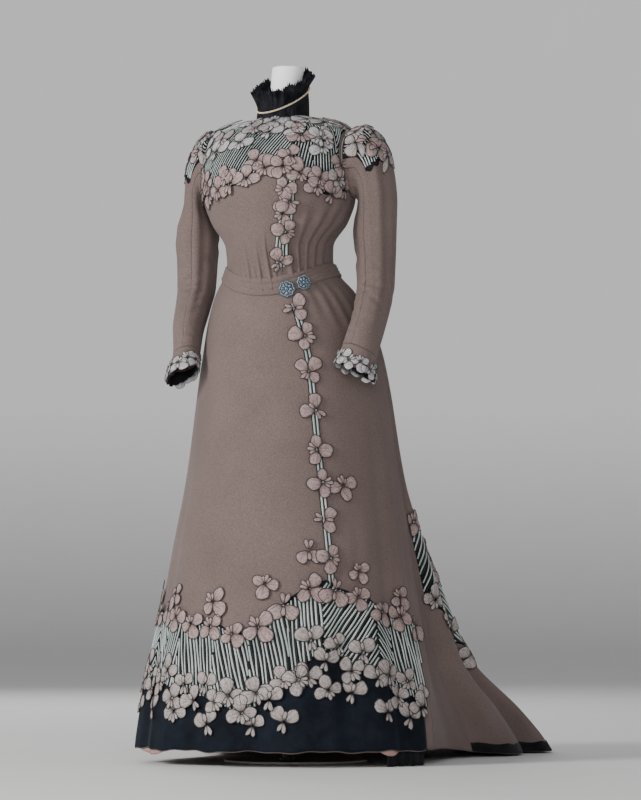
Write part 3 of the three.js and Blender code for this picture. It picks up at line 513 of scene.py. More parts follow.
def shell(parts, outer, inner, quads, stuff=0, inside=None, flip=False):
    """A thin closed wall between two sets of points that share their faces."""
    outer, inner = outer.reshape(-1, 3), inner.reshape(-1, 3)
    used, quads = np.unique(quads, return_inverse=True)
    quads = quads.reshape(-1, 4)
    outer, inner = outer[used], inner[used]
    count = len(used)
    starts, ends = quads.ravel(), np.roll(quads, -1, axis=1).ravel()
    open_edge = ~np.isin(starts * count + ends, ends * count + starts)
    a, b = starts[open_edge], ends[open_edge]
    blocks = [quads, quads[:, ::-1] + count, np.stack([a, a + count, b + count, b], -1)]
    if flip:
        blocks = [block[:, ::-1] for block in blocks]
    start = parts.count
    parts.add(np.concatenate([outer, inner]), [])
    for block, kind in zip(blocks, (stuff, stuff if inside is None else inside, stuff)):
        parts.faces.append(block + start)
        parts.stuff.append(np.full(len(block), kind))
    return parts


def thing(name, parts, materials, replaces=(), flat_shaded=False):
    """An object in metres from parts in millimetres, riding on the body."""
    points = np.concatenate(parts.points) * MM
    faces = [face for block in parts.faces for face in block.tolist()]
    mesh = bpy.data.meshes.new(name)
    mesh.from_pydata(points.tolist(), [], faces)
    for material in materials:
        mesh.materials.append(material)
    mesh.polygons.foreach_set("material_index", np.concatenate(parts.stuff).astype(np.int32))
    mesh.polygons.foreach_set("use_smooth", np.full(len(faces), not flat_shaded))
    corner = np.zeros(len(mesh.loops), np.int32)
    mesh.loops.foreach_get("vertex_index", corner)
    layer = mesh.uv_layers.new(name="UVMap")
    layer.data.foreach_set("uv", np.concatenate(parts.uv)[corner].astype(np.float32).ravel())
    mesh.validate()
    mesh.update()
    made = bpy.data.objects.new(name, mesh)
    bpy.context.scene.collection.objects.link(made)
    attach(made, "root")
    if replaces:
        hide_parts(*replaces)
    return made


def even_turns(surface, first, last, level, step):
    """Turns between two others that lie evenly along the surface at a level."""
    turns = np.linspace(first, last, 6000)
    points = surface.shape(turns, level + 0 * turns)
    length = run_length(points)
    count = round(length[-1] / step)
    return np.interp(np.linspace(0, length[-1], count + 1), length, turns)


def panel(parts, surface, turn, level, low=-CLOTH, high=0.0, closed=False, keep=None, hole=None, **options):
    """A wall on a surface through grids of turns and levels.

    hole moves points off an opening; keep says which cells stay.
    """
    rows, columns = turn.shape
    quads = grid_quads(rows, columns, closed)
    outer, inner = surface.lifted(turn, level, high), surface.lifted(turn, level, low)
    if hole is not None:
        outer, inner = hole(outer, 0), hole(inner, low - high)
    if keep is not None:
        quads = quads[keep(surface.shape(turn, level).reshape(-1, 3)[quads].mean(1))]
    return shell(parts, outer, inner, quads, **options)


# ---------------------------------------------------------------- materials
class Shader:
    """A material whose nodes are added one by one. Even values are set on the shader's own sockets."""

    def __init__(self, name, color, roughness, metallic=0.0, sheen=0.0, sheen_roughness=0.5, specular=0.3):
        self.material = bpy.data.materials.new(name)
        self.material.use_nodes = True
        self.tree = self.material.node_tree
        self.shader = self.tree.nodes["Principled BSDF"]
        even = {
            "Base Color": (*color, 1), "Roughness": roughness, "Metallic": metallic, "Sheen Weight": sheen,
            "Sheen Roughness": sheen_roughness, "Specular IOR Level": specular,
        }
        for socket, value in even.items():
            self.shader.inputs[socket].default_value = value
        self.material.diffuse_color = (*color, 1)
        self.last_normal = None

    def feed(self, socket, value):
        """Links a socket to another one, or sets its value."""
        if isinstance(value, bpy.types.NodeSocket):
            self.tree.links.new(value, socket)
        else:
            socket.default_value = value

    def node(self, kind, settings=(), **inputs):
        made = self.tree.nodes.new("ShaderNode" + kind)
        for name, value in dict(settings).items():
            setattr(made, name, value)
        for name, value in inputs.items():
            self.feed(made.inputs[name.replace("_", " ")], value)
        return made

    def place(self, scale=(1, 1, 1), uv=False):
        """Coordinates fixed to the object, in metres, or its UV map, stretched by scale."""
        source = self.node("TexCoord").outputs["UV" if uv else "Object"]
        return self.node("Mapping", Vector=source, Scale=scale).outputs["Vector"]

    def noise(self, where, scale, detail=3.0, roughness=0.5):
        made = self.node("TexNoise", Vector=where, Scale=scale, Detail=detail, Roughness=roughness)
        return made.outputs["Fac"]

    def ramp(self, factor, *stops):
        """A colour ramp. Each stop is a position and a colour."""
        made = self.node("ValToRGB", Fac=factor)
        while len(made.color_ramp.elements) < len(stops):
            made.color_ramp.elements.new(0.5)
        for element, (position, color) in zip(made.color_ramp.elements, stops):
            element.position = position
            element.color = (*color, 1)
        return made.outputs["Color"]

    def multiplied(self, first, second, factor=1.0, mode="MULTIPLY"):
        """One colour over another, multiplied by it unless another mode is asked for."""
        made = self.node("Mix", {"data_type": "RGBA", "blend_type": mode})
        for index, value in ((0, factor), (6, first), (7, second)):
            self.feed(made.inputs[index], value)
        return made.outputs[2]

    def toned(self, factor, color, dark, bright, low=0.3, high=0.7):
        """A colour between a darker and a brighter shade of itself."""
        return self.ramp(factor, (low, shade(color, dark)), (high, shade(color, bright)))

    def set_color(self, socket):
        self.tree.links.new(socket, self.shader.inputs["Base Color"])
        return self

    def set_roughness(self, socket, low, high):
        made = self.node("MapRange", Value=socket, To_Min=low, To_Max=high)
        self.tree.links.new(made.outputs["Result"], self.shader.inputs["Roughness"])
        return self

    def bump(self, height, strength, distance):
        """Adds a bump over the ones before it. Distance is in metres."""
        made = self.node("Bump", Height=height, Strength=strength, Distance=distance)
        if self.last_normal is not None:
            self.tree.links.new(self.last_normal, made.inputs["Normal"])
        self.last_normal = made.outputs["Normal"]
        self.tree.links.new(self.last_normal, self.shader.inputs["Normal"])
        return self


def shade(color, factor):
    return tuple(min(1.0, channel * factor) for channel in color)


WOOL_COLOR = (0.150, 0.114, 0.106)
NAVY_COLOR = (0.0055, 0.0078, 0.0125)
BLACK_COLOR = (0.0055, 0.0058, 0.0075)
PINK_COLOR = (0.37, 0.285, 0.275)
PALE_COLOR = (0.40, 0.365, 0.35)
WHITE_COLOR = (0.49, 0.485, 0.49)
AQUA_COLOR = (0.34, 0.42, 0.40)
CREAM_COLOR = (0.66, 0.56, 0.40)


def wool_material():
    """Fine wool crepe: a close, slightly uneven grain with soft changes of tone."""
    made = Shader("wool_crepe", WOOL_COLOR, roughness=0.93, sheen=0.07, sheen_roughness=0.45, specular=0.15)
    where = made.place()
    tone = made.noise(where, 7, detail=4)
    grain = made.noise(where, 520, detail=2, roughness=0.7)
    cloudy = made.toned(tone, WOOL_COLOR, 0.9, 1.08)
    flecked = made.ramp(grain, (0.32, (0.72, 0.72, 0.72)), (0.66, (1.2, 1.18, 1.17)))
    made.set_color(made.multiplied(cloudy, flecked))
    rows = made.noise(made.place((900, 900, 260)), 1, detail=1)
    made.bump(grain, 0.35, 0.0006)
    return made.bump(rows, 0.2, 0.0004).material


def navy_material():
    """Dark navy velvet with a short nap."""
    made = Shader("navy_velvet", NAVY_COLOR, roughness=0.88, sheen=0.07, sheen_roughness=0.35, specular=0.12)
    made.shader.inputs["Sheen Tint"].default_value = (0.55, 0.68, 0.85, 1)
    where = made.place()
    nap = made.noise(where, 24, detail=5, roughness=0.65)
    made.set_color(made.toned(nap, NAVY_COLOR, 0.65, 1.6, 0.32, 0.68))
    made.bump(made.noise(where, 700, detail=2), 0.4, 0.0006)
    return made.bump(made.noise(made.place((30, 30, 5)), 1, detail=3), 0.35, 0.004).material


def black_material(name, sheen, bump_scale):
    made = Shader(name, BLACK_COLOR, roughness=0.85, sheen=sheen, sheen_roughness=0.4, specular=0.15)
    where = made.place()
    tone = made.noise(where, 40, detail=4)
    made.set_color(made.toned(tone, BLACK_COLOR, 0.6, 2.2))
    return made.bump(made.noise(where, bump_scale, detail=3), 0.5, 0.0008).material


def gauze_material():
    """Black crinkled gauze: the crossing threads of an open, crushed weave."""
    made = Shader("black_gauze", BLACK_COLOR, roughness=0.85, sheen=0.03, sheen_roughness=0.4, specular=0.12)
    where = made.place()
    cells = made.node("TexVoronoi", {"feature": "DISTANCE_TO_EDGE"}, Vector=where, Scale=190)
    tone = made.noise(where, 60, detail=4)
    made.set_color(made.toned(tone, BLACK_COLOR, 0.55, 3.2, 0.3, 0.72))
    made.bump(cells.outputs["Distance"], 0.6, 0.0022)
    return made.bump(made.noise(where, 900, detail=1), 0.3, 0.0005).material


def petal_material(name, color, warm):
    """Applied cloth petals: mottled, darker towards the root, with fine stitched veins that fan out."""
    made = Shader(name, color, roughness=0.88, sheen=0.05, sheen_roughness=0.4, specular=0.2)
    uv = made.place(uv=True)
    veins = made.noise(made.place((15, 1.1, 1), uv=True), 1, detail=3, roughness=0.6)
    parts = made.node("SeparateXYZ", Vector=uv)
    shades = ((0.0, shade(warm, 0.4)), (0.3, shade(color, 0.86)), (0.8, color), (1.0, shade(color, 0.92)))
    rooted = made.ramp(parts.outputs["Y"], *shades)
    lined = made.ramp(veins, (0.36, (0.5, 0.45, 0.45)), (0.5, (0.98, 0.97, 0.97)), (0.7, (1.1, 1.1, 1.1)))
    mixed = made.multiplied(rooted, lined)
    mottled = made.noise(made.place(), 230, detail=3, roughness=0.7)
    blotch = made.ramp(mottled, (0.34, (0.66, 0.62, 0.62)), (0.52, (1, 1, 1)), (0.7, (1.14, 1.14, 1.14)))
    made.set_color(made.multiplied(mixed, blotch))
    made.bump(veins, 0.5, 0.0008)
    return made.bump(mottled, 0.35, 0.0006).material


def ribbon_material():
    """Pale silk ribbon with a faint rib along it."""
    made = Shader("pale_ribbon", AQUA_COLOR, roughness=0.55, sheen=0.1, specular=0.4)
    along = made.noise(made.place((9, 0.6, 1), uv=True), 1, detail=2)
    tone = made.noise(made.place(), 16, detail=3)
    first = made.ramp(tone, (0.3, shade(AQUA_COLOR, 0.82)), (0.68, (0.50, 0.55, 0.53)))
    lined = made.ramp(along, (0.3, (0.78, 0.8, 0.8)), (0.6, (1.06, 1.06, 1.06)))
    made.set_color(made.multiplied(first, lined))
    return made.bump(along, 0.4, 0.0006).material


def cord_edge_material():
    made = Shader("corded_edge", (0.017, 0.014, 0.015), roughness=0.7, sheen=0.1, specular=0.35)
    twist = made.noise(made.place(), 420, detail=1)
    made.set_color(made.ramp(twist, (0.35, (0.008, 0.007, 0.008)), (0.65, (0.035, 0.028, 0.028))))
    return made.bump(twist, 0.5, 0.0005).material


def cream_cord_material():
    made = Shader("cream_cord", CREAM_COLOR, roughness=0.6, sheen=0.1, specular=0.4)
    tone = made.noise(made.place(), 260, detail=2)
    made.set_color(made.toned(tone, CREAM_COLOR, 0.7, 1.2, 0.3, 0.65))
    return made.bump(tone, 0.4, 0.0006).material


def clasp_material():
    """Blue-grey metal with random pits, painted shade in the hollows and painted highlights on the raised
    parts.
    """
    made = Shader("clasp_metal_painted_shade_and_highlight", (0.13, 0.18, 0.22), roughness=0.4, metallic=0.85, specular=0.5)
    where = made.place()
    pits = made.noise(where, 420, detail=4, roughness=0.7)
    pointy = made.node("NewGeometry").outputs["Pointiness"]
    # Pointiness paints shade into the hollows and a highlight onto the raised parts.
    painted_highlight_stop = (0.57, (0.42, 0.5, 0.56))
    painted_shade_and_highlight = made.ramp(pointy, (0.45, (0.015, 0.022, 0.03)), (0.5, (0.1, 0.14, 0.18)), painted_highlight_stop)
    pitted = made.ramp(pits, (0.35, (0.03, 0.045, 0.06)), (0.65, (0.26, 0.33, 0.38)))
    made.set_color(made.multiplied(painted_shade_and_highlight, pitted, 0.5, "MIX"))
    made.set_roughness(pits, 0.25, 0.6)
    return made.bump(pits, 0.4, 0.0006).material


def plain_material(name, color, roughness, metallic=0.0, grain=300, strength=0.15, tone_change=0.06):
    made = Shader(name, color, roughness=roughness, metallic=metallic, specular=0.4)
    where = made.place()
    tone = made.noise(where, 9, detail=4)
    made.set_color(made.toned(tone, color, 1 - tone_change, 1 + tone_change))
    made.set_roughness(made.noise(where, 35, detail=3), roughness - 0.06, roughness + 0.06)
    return made.bump(made.noise(where, grain, detail=2), strength, 0.0004).material


WOOL = wool_material()
NAVY = navy_material()
GAUZE = gauze_material()
SILK = black_material("black_silk", 0.05, 350)
GROUND = black_material("black_ground", 0.02, 600)
PINK = petal_material("pink_petals", PINK_COLOR, (0.33, 0.2, 0.18))
PALE = petal_material("pale_petals", PALE_COLOR, (0.27, 0.23, 0.22))
WHITE = petal_material("whitish_petals", WHITE_COLOR, (0.36, 0.35, 0.35))
EDGE = cord_edge_material()
RIBBON = ribbon_material()
CREAM = cream_cord_material()
METAL = clasp_material()
LINING = plain_material("beige_lining", (0.36, 0.23, 0.2), 0.8, grain=700, strength=0.3)
FORM_SKIN = plain_material("form_cloth", (0.93, 0.93, 0.945), 0.62, grain=900, strength=0.2, tone_change=0.02)
POLE_PAINT = plain_material("dark_paint", (0.035, 0.035, 0.04), 0.35, tone_change=0.15)
BASE_PAINT = plain_material("pale_paint", (0.62, 0.59, 0.56), 0.5)


# ---------------------------------------------------------------- flowers
RNG = np.random.default_rng(1903)
PINK_PETAL, PALE_PETAL, CORD_EDGE, WHITE_PETAL = 0, 1, 2, 3
FLOWER_STUFF = (PINK, PALE, EDGE, WHITE)


def petal_outline(length, width, count, blunt):
    """An uneven rounded petal from its root at the origin, up its left side and down its right."""
    angle = np.linspace(0, 2 * math.pi, count, endpoint=False) + math.pi / count
    phase = RNG.uniform(0, 2 * math.pi, 2)
    uneven = 1 + 0.055 * np.sin(3 * angle + phase[0]) + 0.03 * np.sin(5 * angle + phase[1])
    taper = 1 - (0.5 - 0.22 * blunt) * ((1 + np.cos(angle)) / 2) ** 1.5
    x = -width / 2 * np.sin(angle) * taper * uneven
    y = length / 2 * (1 - np.cos(angle) * uneven)
    return np.stack([x, y], -1)


def petal_place(flat, length, width):
    """Where points of a petal lie: across its fan of veins, and along it from the root."""
    along = flat[:, 1] / length
    return np.column_stack([0.5 + flat[:, 0] / width / (0.45 + 0.6 * along), along])


def petal(length, width, angle, root, lift, count=16, rings=(0.4, 0.75, 1.0), dome=0.95, cord=0.7, blunt=0.7):
    """A domed petal with a corded edge: points (x, y, height), faces, which of the two it is, and its UV."""
    outline = petal_outline(length, width, count, blunt)
    middle = np.array([0, length * 0.55])
    points, uv = [np.array([[*middle, dome + lift - 0.3]])], [petal_place(middle[None], length, width)]
    for ring in rings:
        flat = middle + (outline - middle) * ring
        crease = 0.3 * np.exp(-((flat[:, 0] / (0.12 * width)) ** 2)) * (1 - ring)
        height = lift + 0.25 + (dome - 0.25) * (1 - ring**3) - crease
        points.append(np.column_stack([flat, height]))
        uv.append(petal_place(flat, length, width))
    j, after = ring_of(count)

    def between(a, b):
        return np.column_stack([a + j, a + after, b + after, b + j])

    start = 1 + len(rings) * count
    under = start + count
    faces = [np.column_stack([np.zeros(count, int), 1 + after, 1 + j])]
    faces += [between(1 + k * count, 1 + (k + 1) * count) for k in range(len(rings) - 1)]
    faces.append(between(start - count, start))
    faces.append(np.column_stack([np.full(count, under), start + j, start + after]))
    low = lift - 0.5
    points += [np.column_stack([outline, np.full(count, low)]), np.array([[*middle, low]])]
    uv += [petal_place(outline, length, width), np.array([[0.5, 0.5]])]
    kinds = [0] * len(faces) + [1] * 4
    out = unit(outline - middle)
    for across, above in ((0, 1.0), (1.0, 0.1), (0, -0.8), (-1.0, 0.1)):
        height = np.full(count, lift + 0.55 + above * cord)
        points.append(np.column_stack([outline + out * across * cord, height]))
        uv.append(np.zeros((count, 2)))
    faces += [between(under + 1 + k * count, under + 1 + (k + 1) % 4 * count) for k in range(4)]
    points = np.concatenate(points)
    turn = np.array([[math.cos(angle), math.sin(angle)], [-math.sin(angle), math.cos(angle)]])
    points[:, :2] = points[:, :2] @ turn + np.asarray(root)
    return points, faces, kinds, np.concatenate(uv)


# Petals of a blossom: length, width, angle from the upright, lift. The last ones are the small bunch.
WHOLE = (
    (27, 29, 4, 0.9, 0), (26, 25, 100, 0.2, 0), (25, 24, -96, 0.3, 0),
    (16, 8, 150, 1.5, 1), (18, 9, 181, 2.1, 1), (15, 8, 213, 1.6, 1),
)
LEANING = (
    (28, 27, 30, 0.9, 0), (26, 24, 120, 0.2, 0), (24, 23, -66, 0.3, 0),
    (17, 8.5, 200, 1.7, 1), (15, 7.5, 230, 2.1, 1), (13, 7, 168, 1.4, 1),
)
PAIR = (
    (28, 27, 50, 0.6, 0), (27, 26, -44, 0.2, 0),
    (15, 8.5, 4, 1.9, 1), (17, 8.5, 158, 1.5, 1), (18, 9, 194, 2.0, 1),
)
BLOSSOMS = (WHOLE, LEANING, PAIR)


def blossom(kind, size):
    """The petals of one blossom, scaled, as one block of points with its faces."""
    points, faces, kinds, uv, count = [], [], [], [], 0
    for length, width, angle, lift, small in kind:
        tilt = math.radians(angle)
        root = (-math.sin(tilt) * 2.2, math.cos(tilt) * 2.2)
        detail = {"count": 10, "rings": (0.6, 1.0), "dome": 1.2, "cord": 0.65} if small else {}
        grown = RNG.uniform(0.9, 1.1)
        made = petal(length * grown, width * grown, tilt, root, lift, blunt=0.2 if small else 0.75, **detail)
        points.append(made[0])
        faces += [face + count for face in made[1]]
        kinds += made[2]
        uv.append(made[3])
        count += len(made[0])
    points = np.concatenate(points)
    points[:, :2] *= size
    return points, faces, kinds, np.concatenate(uv)


def sown(name, surface, spots, nodes=()):
    """Blossoms laid on a surface. Each spot: u, v, size, angle in degrees, lift, colour, kind of blossom."""
    parts = Parts()
    for u, v, size, angle, lift, color, kind in spots:
        points, faces, kinds, uv = blossom(kind, size)
        tilt = math.radians(angle)
        x = points[:, 0] * math.cos(tilt) - points[:, 1] * math.sin(tilt)
        y = points[:, 0] * math.sin(tilt) + points[:, 1] * math.cos(tilt)
        across, up = surface.directions(np.array([u]), np.array([v]))
        out = surface.normal(np.array([u]), np.array([v]))[0]
        across, up = across[0], up[0]
        right = across / np.linalg.norm(across)
        above = np.cross(out, right)
        if above[2] < 0:
            right, above = -right, -above
        wanted = x[:, None] * right + y[:, None] * above
        matrix = np.array([[across @ across, across @ up], [across @ up, up @ up]])
        steps = np.linalg.solve(matrix, np.stack([wanted @ across, wanted @ up]))
        placed = surface.lifted(u + steps[0], v + steps[1], points[:, 2] + lift)
        shift = RNG.uniform(0, 7, 2)
        start = parts.count
        parts.add(placed, [], 0, uv + np.array([shift[0], 0]))
        for block, which in zip(faces, kinds):
            parts.faces.append(block + start)
            parts.stuff.append(np.full(len(block), CORD_EDGE if which else color))
    thing(name, parts, FLOWER_STUFF, nodes)


def row_of_blossoms(turns, level_of, size, lift, color, tilt=25, jitter=6, upside=0):
    """Spots for a row of blossoms along an edge, each turned and moved a little."""
    spots = []
    for i, turn in enumerate(turns):
        level = level_of(turn) + RNG.uniform(-jitter, jitter)
        angle = upside + RNG.uniform(-tilt, tilt)
        kind = BLOSSOMS[int(RNG.integers(len(BLOSSOMS)))]
        grown = size * RNG.uniform(0.88, 1.12)
        spots.append((turn, level, grown, angle, lift + 1.0 * (i % 3), color, kind))
    return spots


# ---------------------------------------------------------------- ribbons
def ribbon(parts, surface, turns, levels, half, lift, height, stuff, sections=5):
    """A flat braid with rounded edges along a line of turns and levels."""
    across, up = surface.directions(turns, levels)
    along = np.gradient(surface.shape(turns, levels), axis=0)
    out = surface.normal(turns, levels)
    side = unit(np.cross(unit(along), out))
    at = np.linspace(-1, 1, sections)
    base = surface.lifted(turns, levels, lift)
    profile = height * (1 - np.abs(at) ** 4) ** 0.5
    points = base[:, None] + side[:, None] * (at * half)[None, :, None]
    points = points + out[:, None] * profile[None, :, None]
    length = run_length(base)
    uv = np.stack(np.meshgrid(at * 0.5 + 0.5 + RNG.uniform(0, 9), length / 9 + RNG.uniform(0, 9)), -1)
    under = base[:, None] + side[:, None] * (at[[0, -1]] * half)[None, :, None] - out[:, None] * 0.3
    rows, start = len(turns), parts.count
    parts.add(points, grid_quads(rows, sections), stuff, uv)
    parts.add(under, [], stuff)
    low = start + rows * sections
    i = np.arange(rows - 1)
    left, foot = start + i * sections, low + 2 * i
    right = left + sections - 1
    top, last = start + (rows - 1) * sections, low + 2 * (rows - 1)
    blocks = (
        np.stack([left + sections, foot + 2, foot, left], -1),
        np.stack([foot + 1, foot + 3, right + sections, right], -1),
        np.stack([foot + 2, foot + 3, foot + 1, foot], -1),
        np.array([[low, low + 1, *range(start + sections - 1, start - 1, -1)]]),
        np.array([[*range(top, top + sections), last + 1, last]]),
    )
    for block in blocks:
        parts.faces.append(block)
        parts.stuff.append(np.full(len(block), stuff))


def ribbon_field(parts, surface, sectors, edges, pitch, half, lift, stuffs, level_step=9):
    """Ribbons side by side over a band. Each sector: first turn, last turn, slant from the upright."""
    for first, last, slant in sectors:
        middle = np.array([(first + last) / 2])
        low, high = edges(middle)
        level_middle = float(low[0] + high[0]) / 2
        across, up = surface.directions(middle, np.array([level_middle]))
        turn_size, level_size = np.linalg.norm(across[0]), np.linalg.norm(up[0])
        lean = math.tan(math.radians(slant))
        tall = float(high[0] - low[0]) + 90
        reach = abs(lean) * tall / 2 * level_size / turn_size
        step = pitch / math.cos(math.radians(slant)) / turn_size
        for start in np.arange(first - reach - step, last + reach + step, step):
            levels = np.arange(level_middle - tall, level_middle + tall, 3.0)
            leaning = (levels - level_middle) * lean * level_size / turn_size
            turns = start + RNG.uniform(-0.05, 0.05) * step + leaning
            lows, highs = edges(turns)
            inside = (turns >= first) & (turns <= last) & (levels >= lows) & (levels <= highs)
            found = levels[inside]
            if len(found) < 4:
                continue
            fine = np.linspace(found[0], found[-1], max(3, int((found[-1] - found[0]) / level_step) + 1))
            line = np.interp(fine, levels, turns)
            sway = 0.16 * step * np.sin(fine / RNG.uniform(16, 30) + RNG.uniform(0, 6))
            ribbon(parts, surface, line + sway, fine, half * RNG.uniform(0.8, 1.15), lift, 1.0, stuffs[0])
            dark = line + sway + step / 2
            ribbon(parts, surface, dark, fine, half * 0.42, lift, 0.7, stuffs[1], sections=3)


# ---------------------------------------------------------------- levels along the body
BODY_LENGTH = run_length(np.stack([SECTIONS[name] for name in ("level", "half", "front")], -1))


def length_at(level):
    return np.interp(level, SECTIONS["level"], BODY_LENGTH)


def level_at(length):
    return np.interp(length, BODY_LENGTH, SECTIONS["level"])


def even_levels(first, last, step):
    return level_at(spread(length_at(first), length_at(last), step))


def edged_grid(turns, lows, highs, rows):
    """Turns and levels of a band between two edges, its rows evenly spaced along the body."""
    part = np.linspace(0, 1, rows)[:, None]
    level = level_at(mix(length_at(lows)[None, :], length_at(highs)[None, :], part))
    return np.broadcast_to(turns, level.shape), level


def armhole_part(points, margin):
    """How far points lie from the armhole's axis: 1 is its edge."""
    y = (points[..., 1] - ARMHOLE["y"]) / (ARMHOLE["half_depth"] + margin)
    z = (points[..., 2] - ARMHOLE["z"]) / (ARMHOLE["half_height"] + margin)
    return np.sqrt(y**2 + z**2)


def off_armhole(margin):
    """Moves points that lie in an armhole out to its edge, on the side of the bodice."""

    def move(points, deeper):
        part = np.maximum(armhole_part(points, margin), 0.05)
        inside = (part < 1) & (np.abs(points[..., 0]) > ARMHOLE["chest"])
        centre = np.array([ARMHOLE["y"], ARMHOLE["z"]])
        edge = centre + (points[..., 1:] - centre) / part[..., None]
        x = np.sign(points[..., 0]) * (side_reach(edge[..., 0], edge[..., 1]) + deeper)
        moved = np.concatenate([x[..., None], edge], -1)
        return np.where(inside[..., None], moved, points)

    return move


def outside_armhole(margin):
    def keep(centres):
        return (armhole_part(centres, margin) > 0.97) | (np.abs(centres[:, 0]) < ARMHOLE["chest"])

    return keep


# ---------------------------------------------------------------- skirt
def front_edges(turn):
    return wave_at(BORDER, turn)


def train_edges(turn):
    return wave_at(TRAIN_BORDER, np.minimum(turn, 360 - turn))


# Lowest and highest face of a layer over the cloth.
NAVY_LIFT = (0.3, 1.4)
GROUND_LIFT = (1.7, 2.3)
TRAIN_GROUND = (0.3, 1.0)
RIBBON_PITCH = 8.6
RIBBON_HALF = 1.95
RIBBON_STUFF = (RIBBON, EDGE)
# First turn, last turn and slant from the upright of each stretch of ribbons.
FRONT_SECTORS = (
    (-84, -56, 34), (-56, -44, -28), (-44, -34, 10), (-34, -14, -12), (-14, 2, -16), (2, 18, -10),
    (18, 32, -4), (32, 56, 38), (56, 65, -38), (65, 84, -10),
)
TRAIN_SECTORS = ((104, 119, 26), (119, 131, -26), (131, 148, -6), (148, 165, 30), (165, 179.4, -30))


def skirt_panels():
    turns = even_turns(FRONT, -FRONT_EDGE, FRONT_EDGE, 200, 5.5)
    cloth = panel(Parts(), FRONT, *np.meshgrid(turns, spread(FRONT_HEM, WAIST - 0.2, 9)))
    thing("skirt_front_cloth", cloth, [WOOL], ["skirt_front"])
    for side, first, last in (("left", BACK_EDGE, 179.9), ("right", 180.1, 360 - BACK_EDGE)):
        turns = even_turns(BACK, first, last, 60, 6.5)
        levels = np.concatenate([spread(TRAIN_HEM, SLOPED, 8), spread(SLOPED + 8, WAIST - 0.2, 9)])
        cloth = panel(Parts(), BACK, *np.meshgrid(turns, levels))
        thing(f"skirt_back_{side}_cloth", cloth, [WOOL], [f"skirt_back_{side}"])


def hem_velvet():
    turns = even_turns(FRONT, -80, 80, 200, 6)
    low, high = front_edges(turns)
    top = np.maximum(222, mix(low, high, 0.4))
    grids = edged_grid(turns, 33 + 0 * turns, top, 34)
    velvet = panel(Parts(), FRONT, *grids, low=NAVY_LIFT[0], high=NAVY_LIFT[1])
    thing("hem_velvet", velvet, [NAVY], ["hem_panel"])


def striped_band(name, surface, edges, first, last, sectors, ground, replaced):
    """A black net with scalloped edges, and the ribbons sewn to it."""
    ribbons = Parts()
    turns = even_turns(surface, first, last, 260, 6)
    low, high = edges(turns)
    scallop = 5 * np.abs(np.sin(np.pi * turns / 8))
    grids = edged_grid(turns, low - scallop, high + scallop, 22)
    net = panel(Parts(), surface, *grids, low=ground[0], high=ground[1])
    thing(name + "_net", net, [GROUND], [replaced])
    ribbon_field(ribbons, surface, sectors, edges, RIBBON_PITCH, RIBBON_HALF, ground[1], (0, 1))
    thing(name + "_ribbons", ribbons, RIBBON_STUFF)


def mirrored_sectors(sectors):
    return tuple((360 - last, 360 - first, -slant) for first, last, slant in sectors)


def border_flowers(name, surface, edges, turns, lift, above, below):
    """Rows of blossoms along both edges of a band, and loose ones above and below it."""
    between = turns[:-1] + np.diff(turns) / 2
    spots = row_of_blossoms(turns, lambda t: edges(t)[1] - 4, 1.2, lift, PINK_PETAL, upside=180, tilt=40)
    spots += row_of_blossoms(turns, lambda t: edges(t)[0] + 24, 1.16, lift, PALE_PETAL, tilt=70, jitter=14)
    lifted = lift + 0.4
    spots += row_of_blossoms(between, lambda t: edges(t)[0] - 12, 1.16, lifted, PALE_PETAL, tilt=50, jitter=12)
    for places, color, size, upside in ((above, PINK_PETAL, 1.12, 180), (below, PALE_PETAL, 1.22, 0)):
        for turn, rise in places:
            low, high = edges(np.array([turn]))
            level = (high if rise > 0 else low)[0] + rise
            spots += row_of_blossoms([turn], lambda t: level, size, lift - 0.6, color, 25, 3, upside)
    sown(name, surface, spots)


# Loose blossoms by a border: turn, height over its upper edge or, below 0, under its lower edge.
FRONT_ABOVE = ((-68, 46), (-42, 40), (-16, 46), (8, 62), (27, 70), (50, 48), (72, 40), (45, 222))
FRONT_BELOW = (
    (-66, -46), (-48, -56), (-31, -44), (-14, -50), (4, -38), (16, -66), (25, -30), (33, -78), (43, -56),
    (57, -58), (70, -44),
)
TRAIN_ABOVE = ((112, 48), (128, 40), (146, 44), (163, 42))
TRAIN_BELOW = ((118, -60), (134, -70), (152, -64), (168, -72))


def mirrored(places):
    return tuple((360 - turn, rise) for turn, rise in places)


def borders():
    striped_band("border", FRONT, front_edges, -84, 84, FRONT_SECTORS, GROUND_LIFT, "border_band")
    border_flowers("border_flowers", FRONT, front_edges, spread(-81, 81, 10.8), 3.6, FRONT_ABOVE, FRONT_BELOW)
    left = (TRAIN_SECTORS, TRAIN_ABOVE, TRAIN_BELOW)
    right = (mirrored_sectors(TRAIN_SECTORS), mirrored(TRAIN_ABOVE), mirrored(TRAIN_BELOW))
    sides = (("left", 104, 179.4, *left), ("right", 180.6, 256, *right))
    for side, first, last, sectors, above, below in sides:
        name = f"train_border_{side}"
        striped_band(name, BACK, train_edges, first, last, sectors, TRAIN_GROUND, name)
        turns = even_turns(BACK, first + 2, last - 1, 330, 56)
        border_flowers(f"train_flowers_{side}", BACK, train_edges, turns, 2.4, above, below)


def binding():
    turns = even_turns(BACK, 103, 257, 20, 6)
    grids = edged_grid(turns, 5 + 0 * turns, 26 + 1.5 * np.sin(turns * 1.7), 5)
    silk = panel(Parts(), BACK, *grids, low=0.6, high=1.7)
    thing("train_binding_silk", silk, [SILK], ["train_binding"])


FLOUNCE = {"from": 57, "to": 82, "top": 74, "foot": 1, "waves": 8, "wave": 2.6, "inside": 4.5}


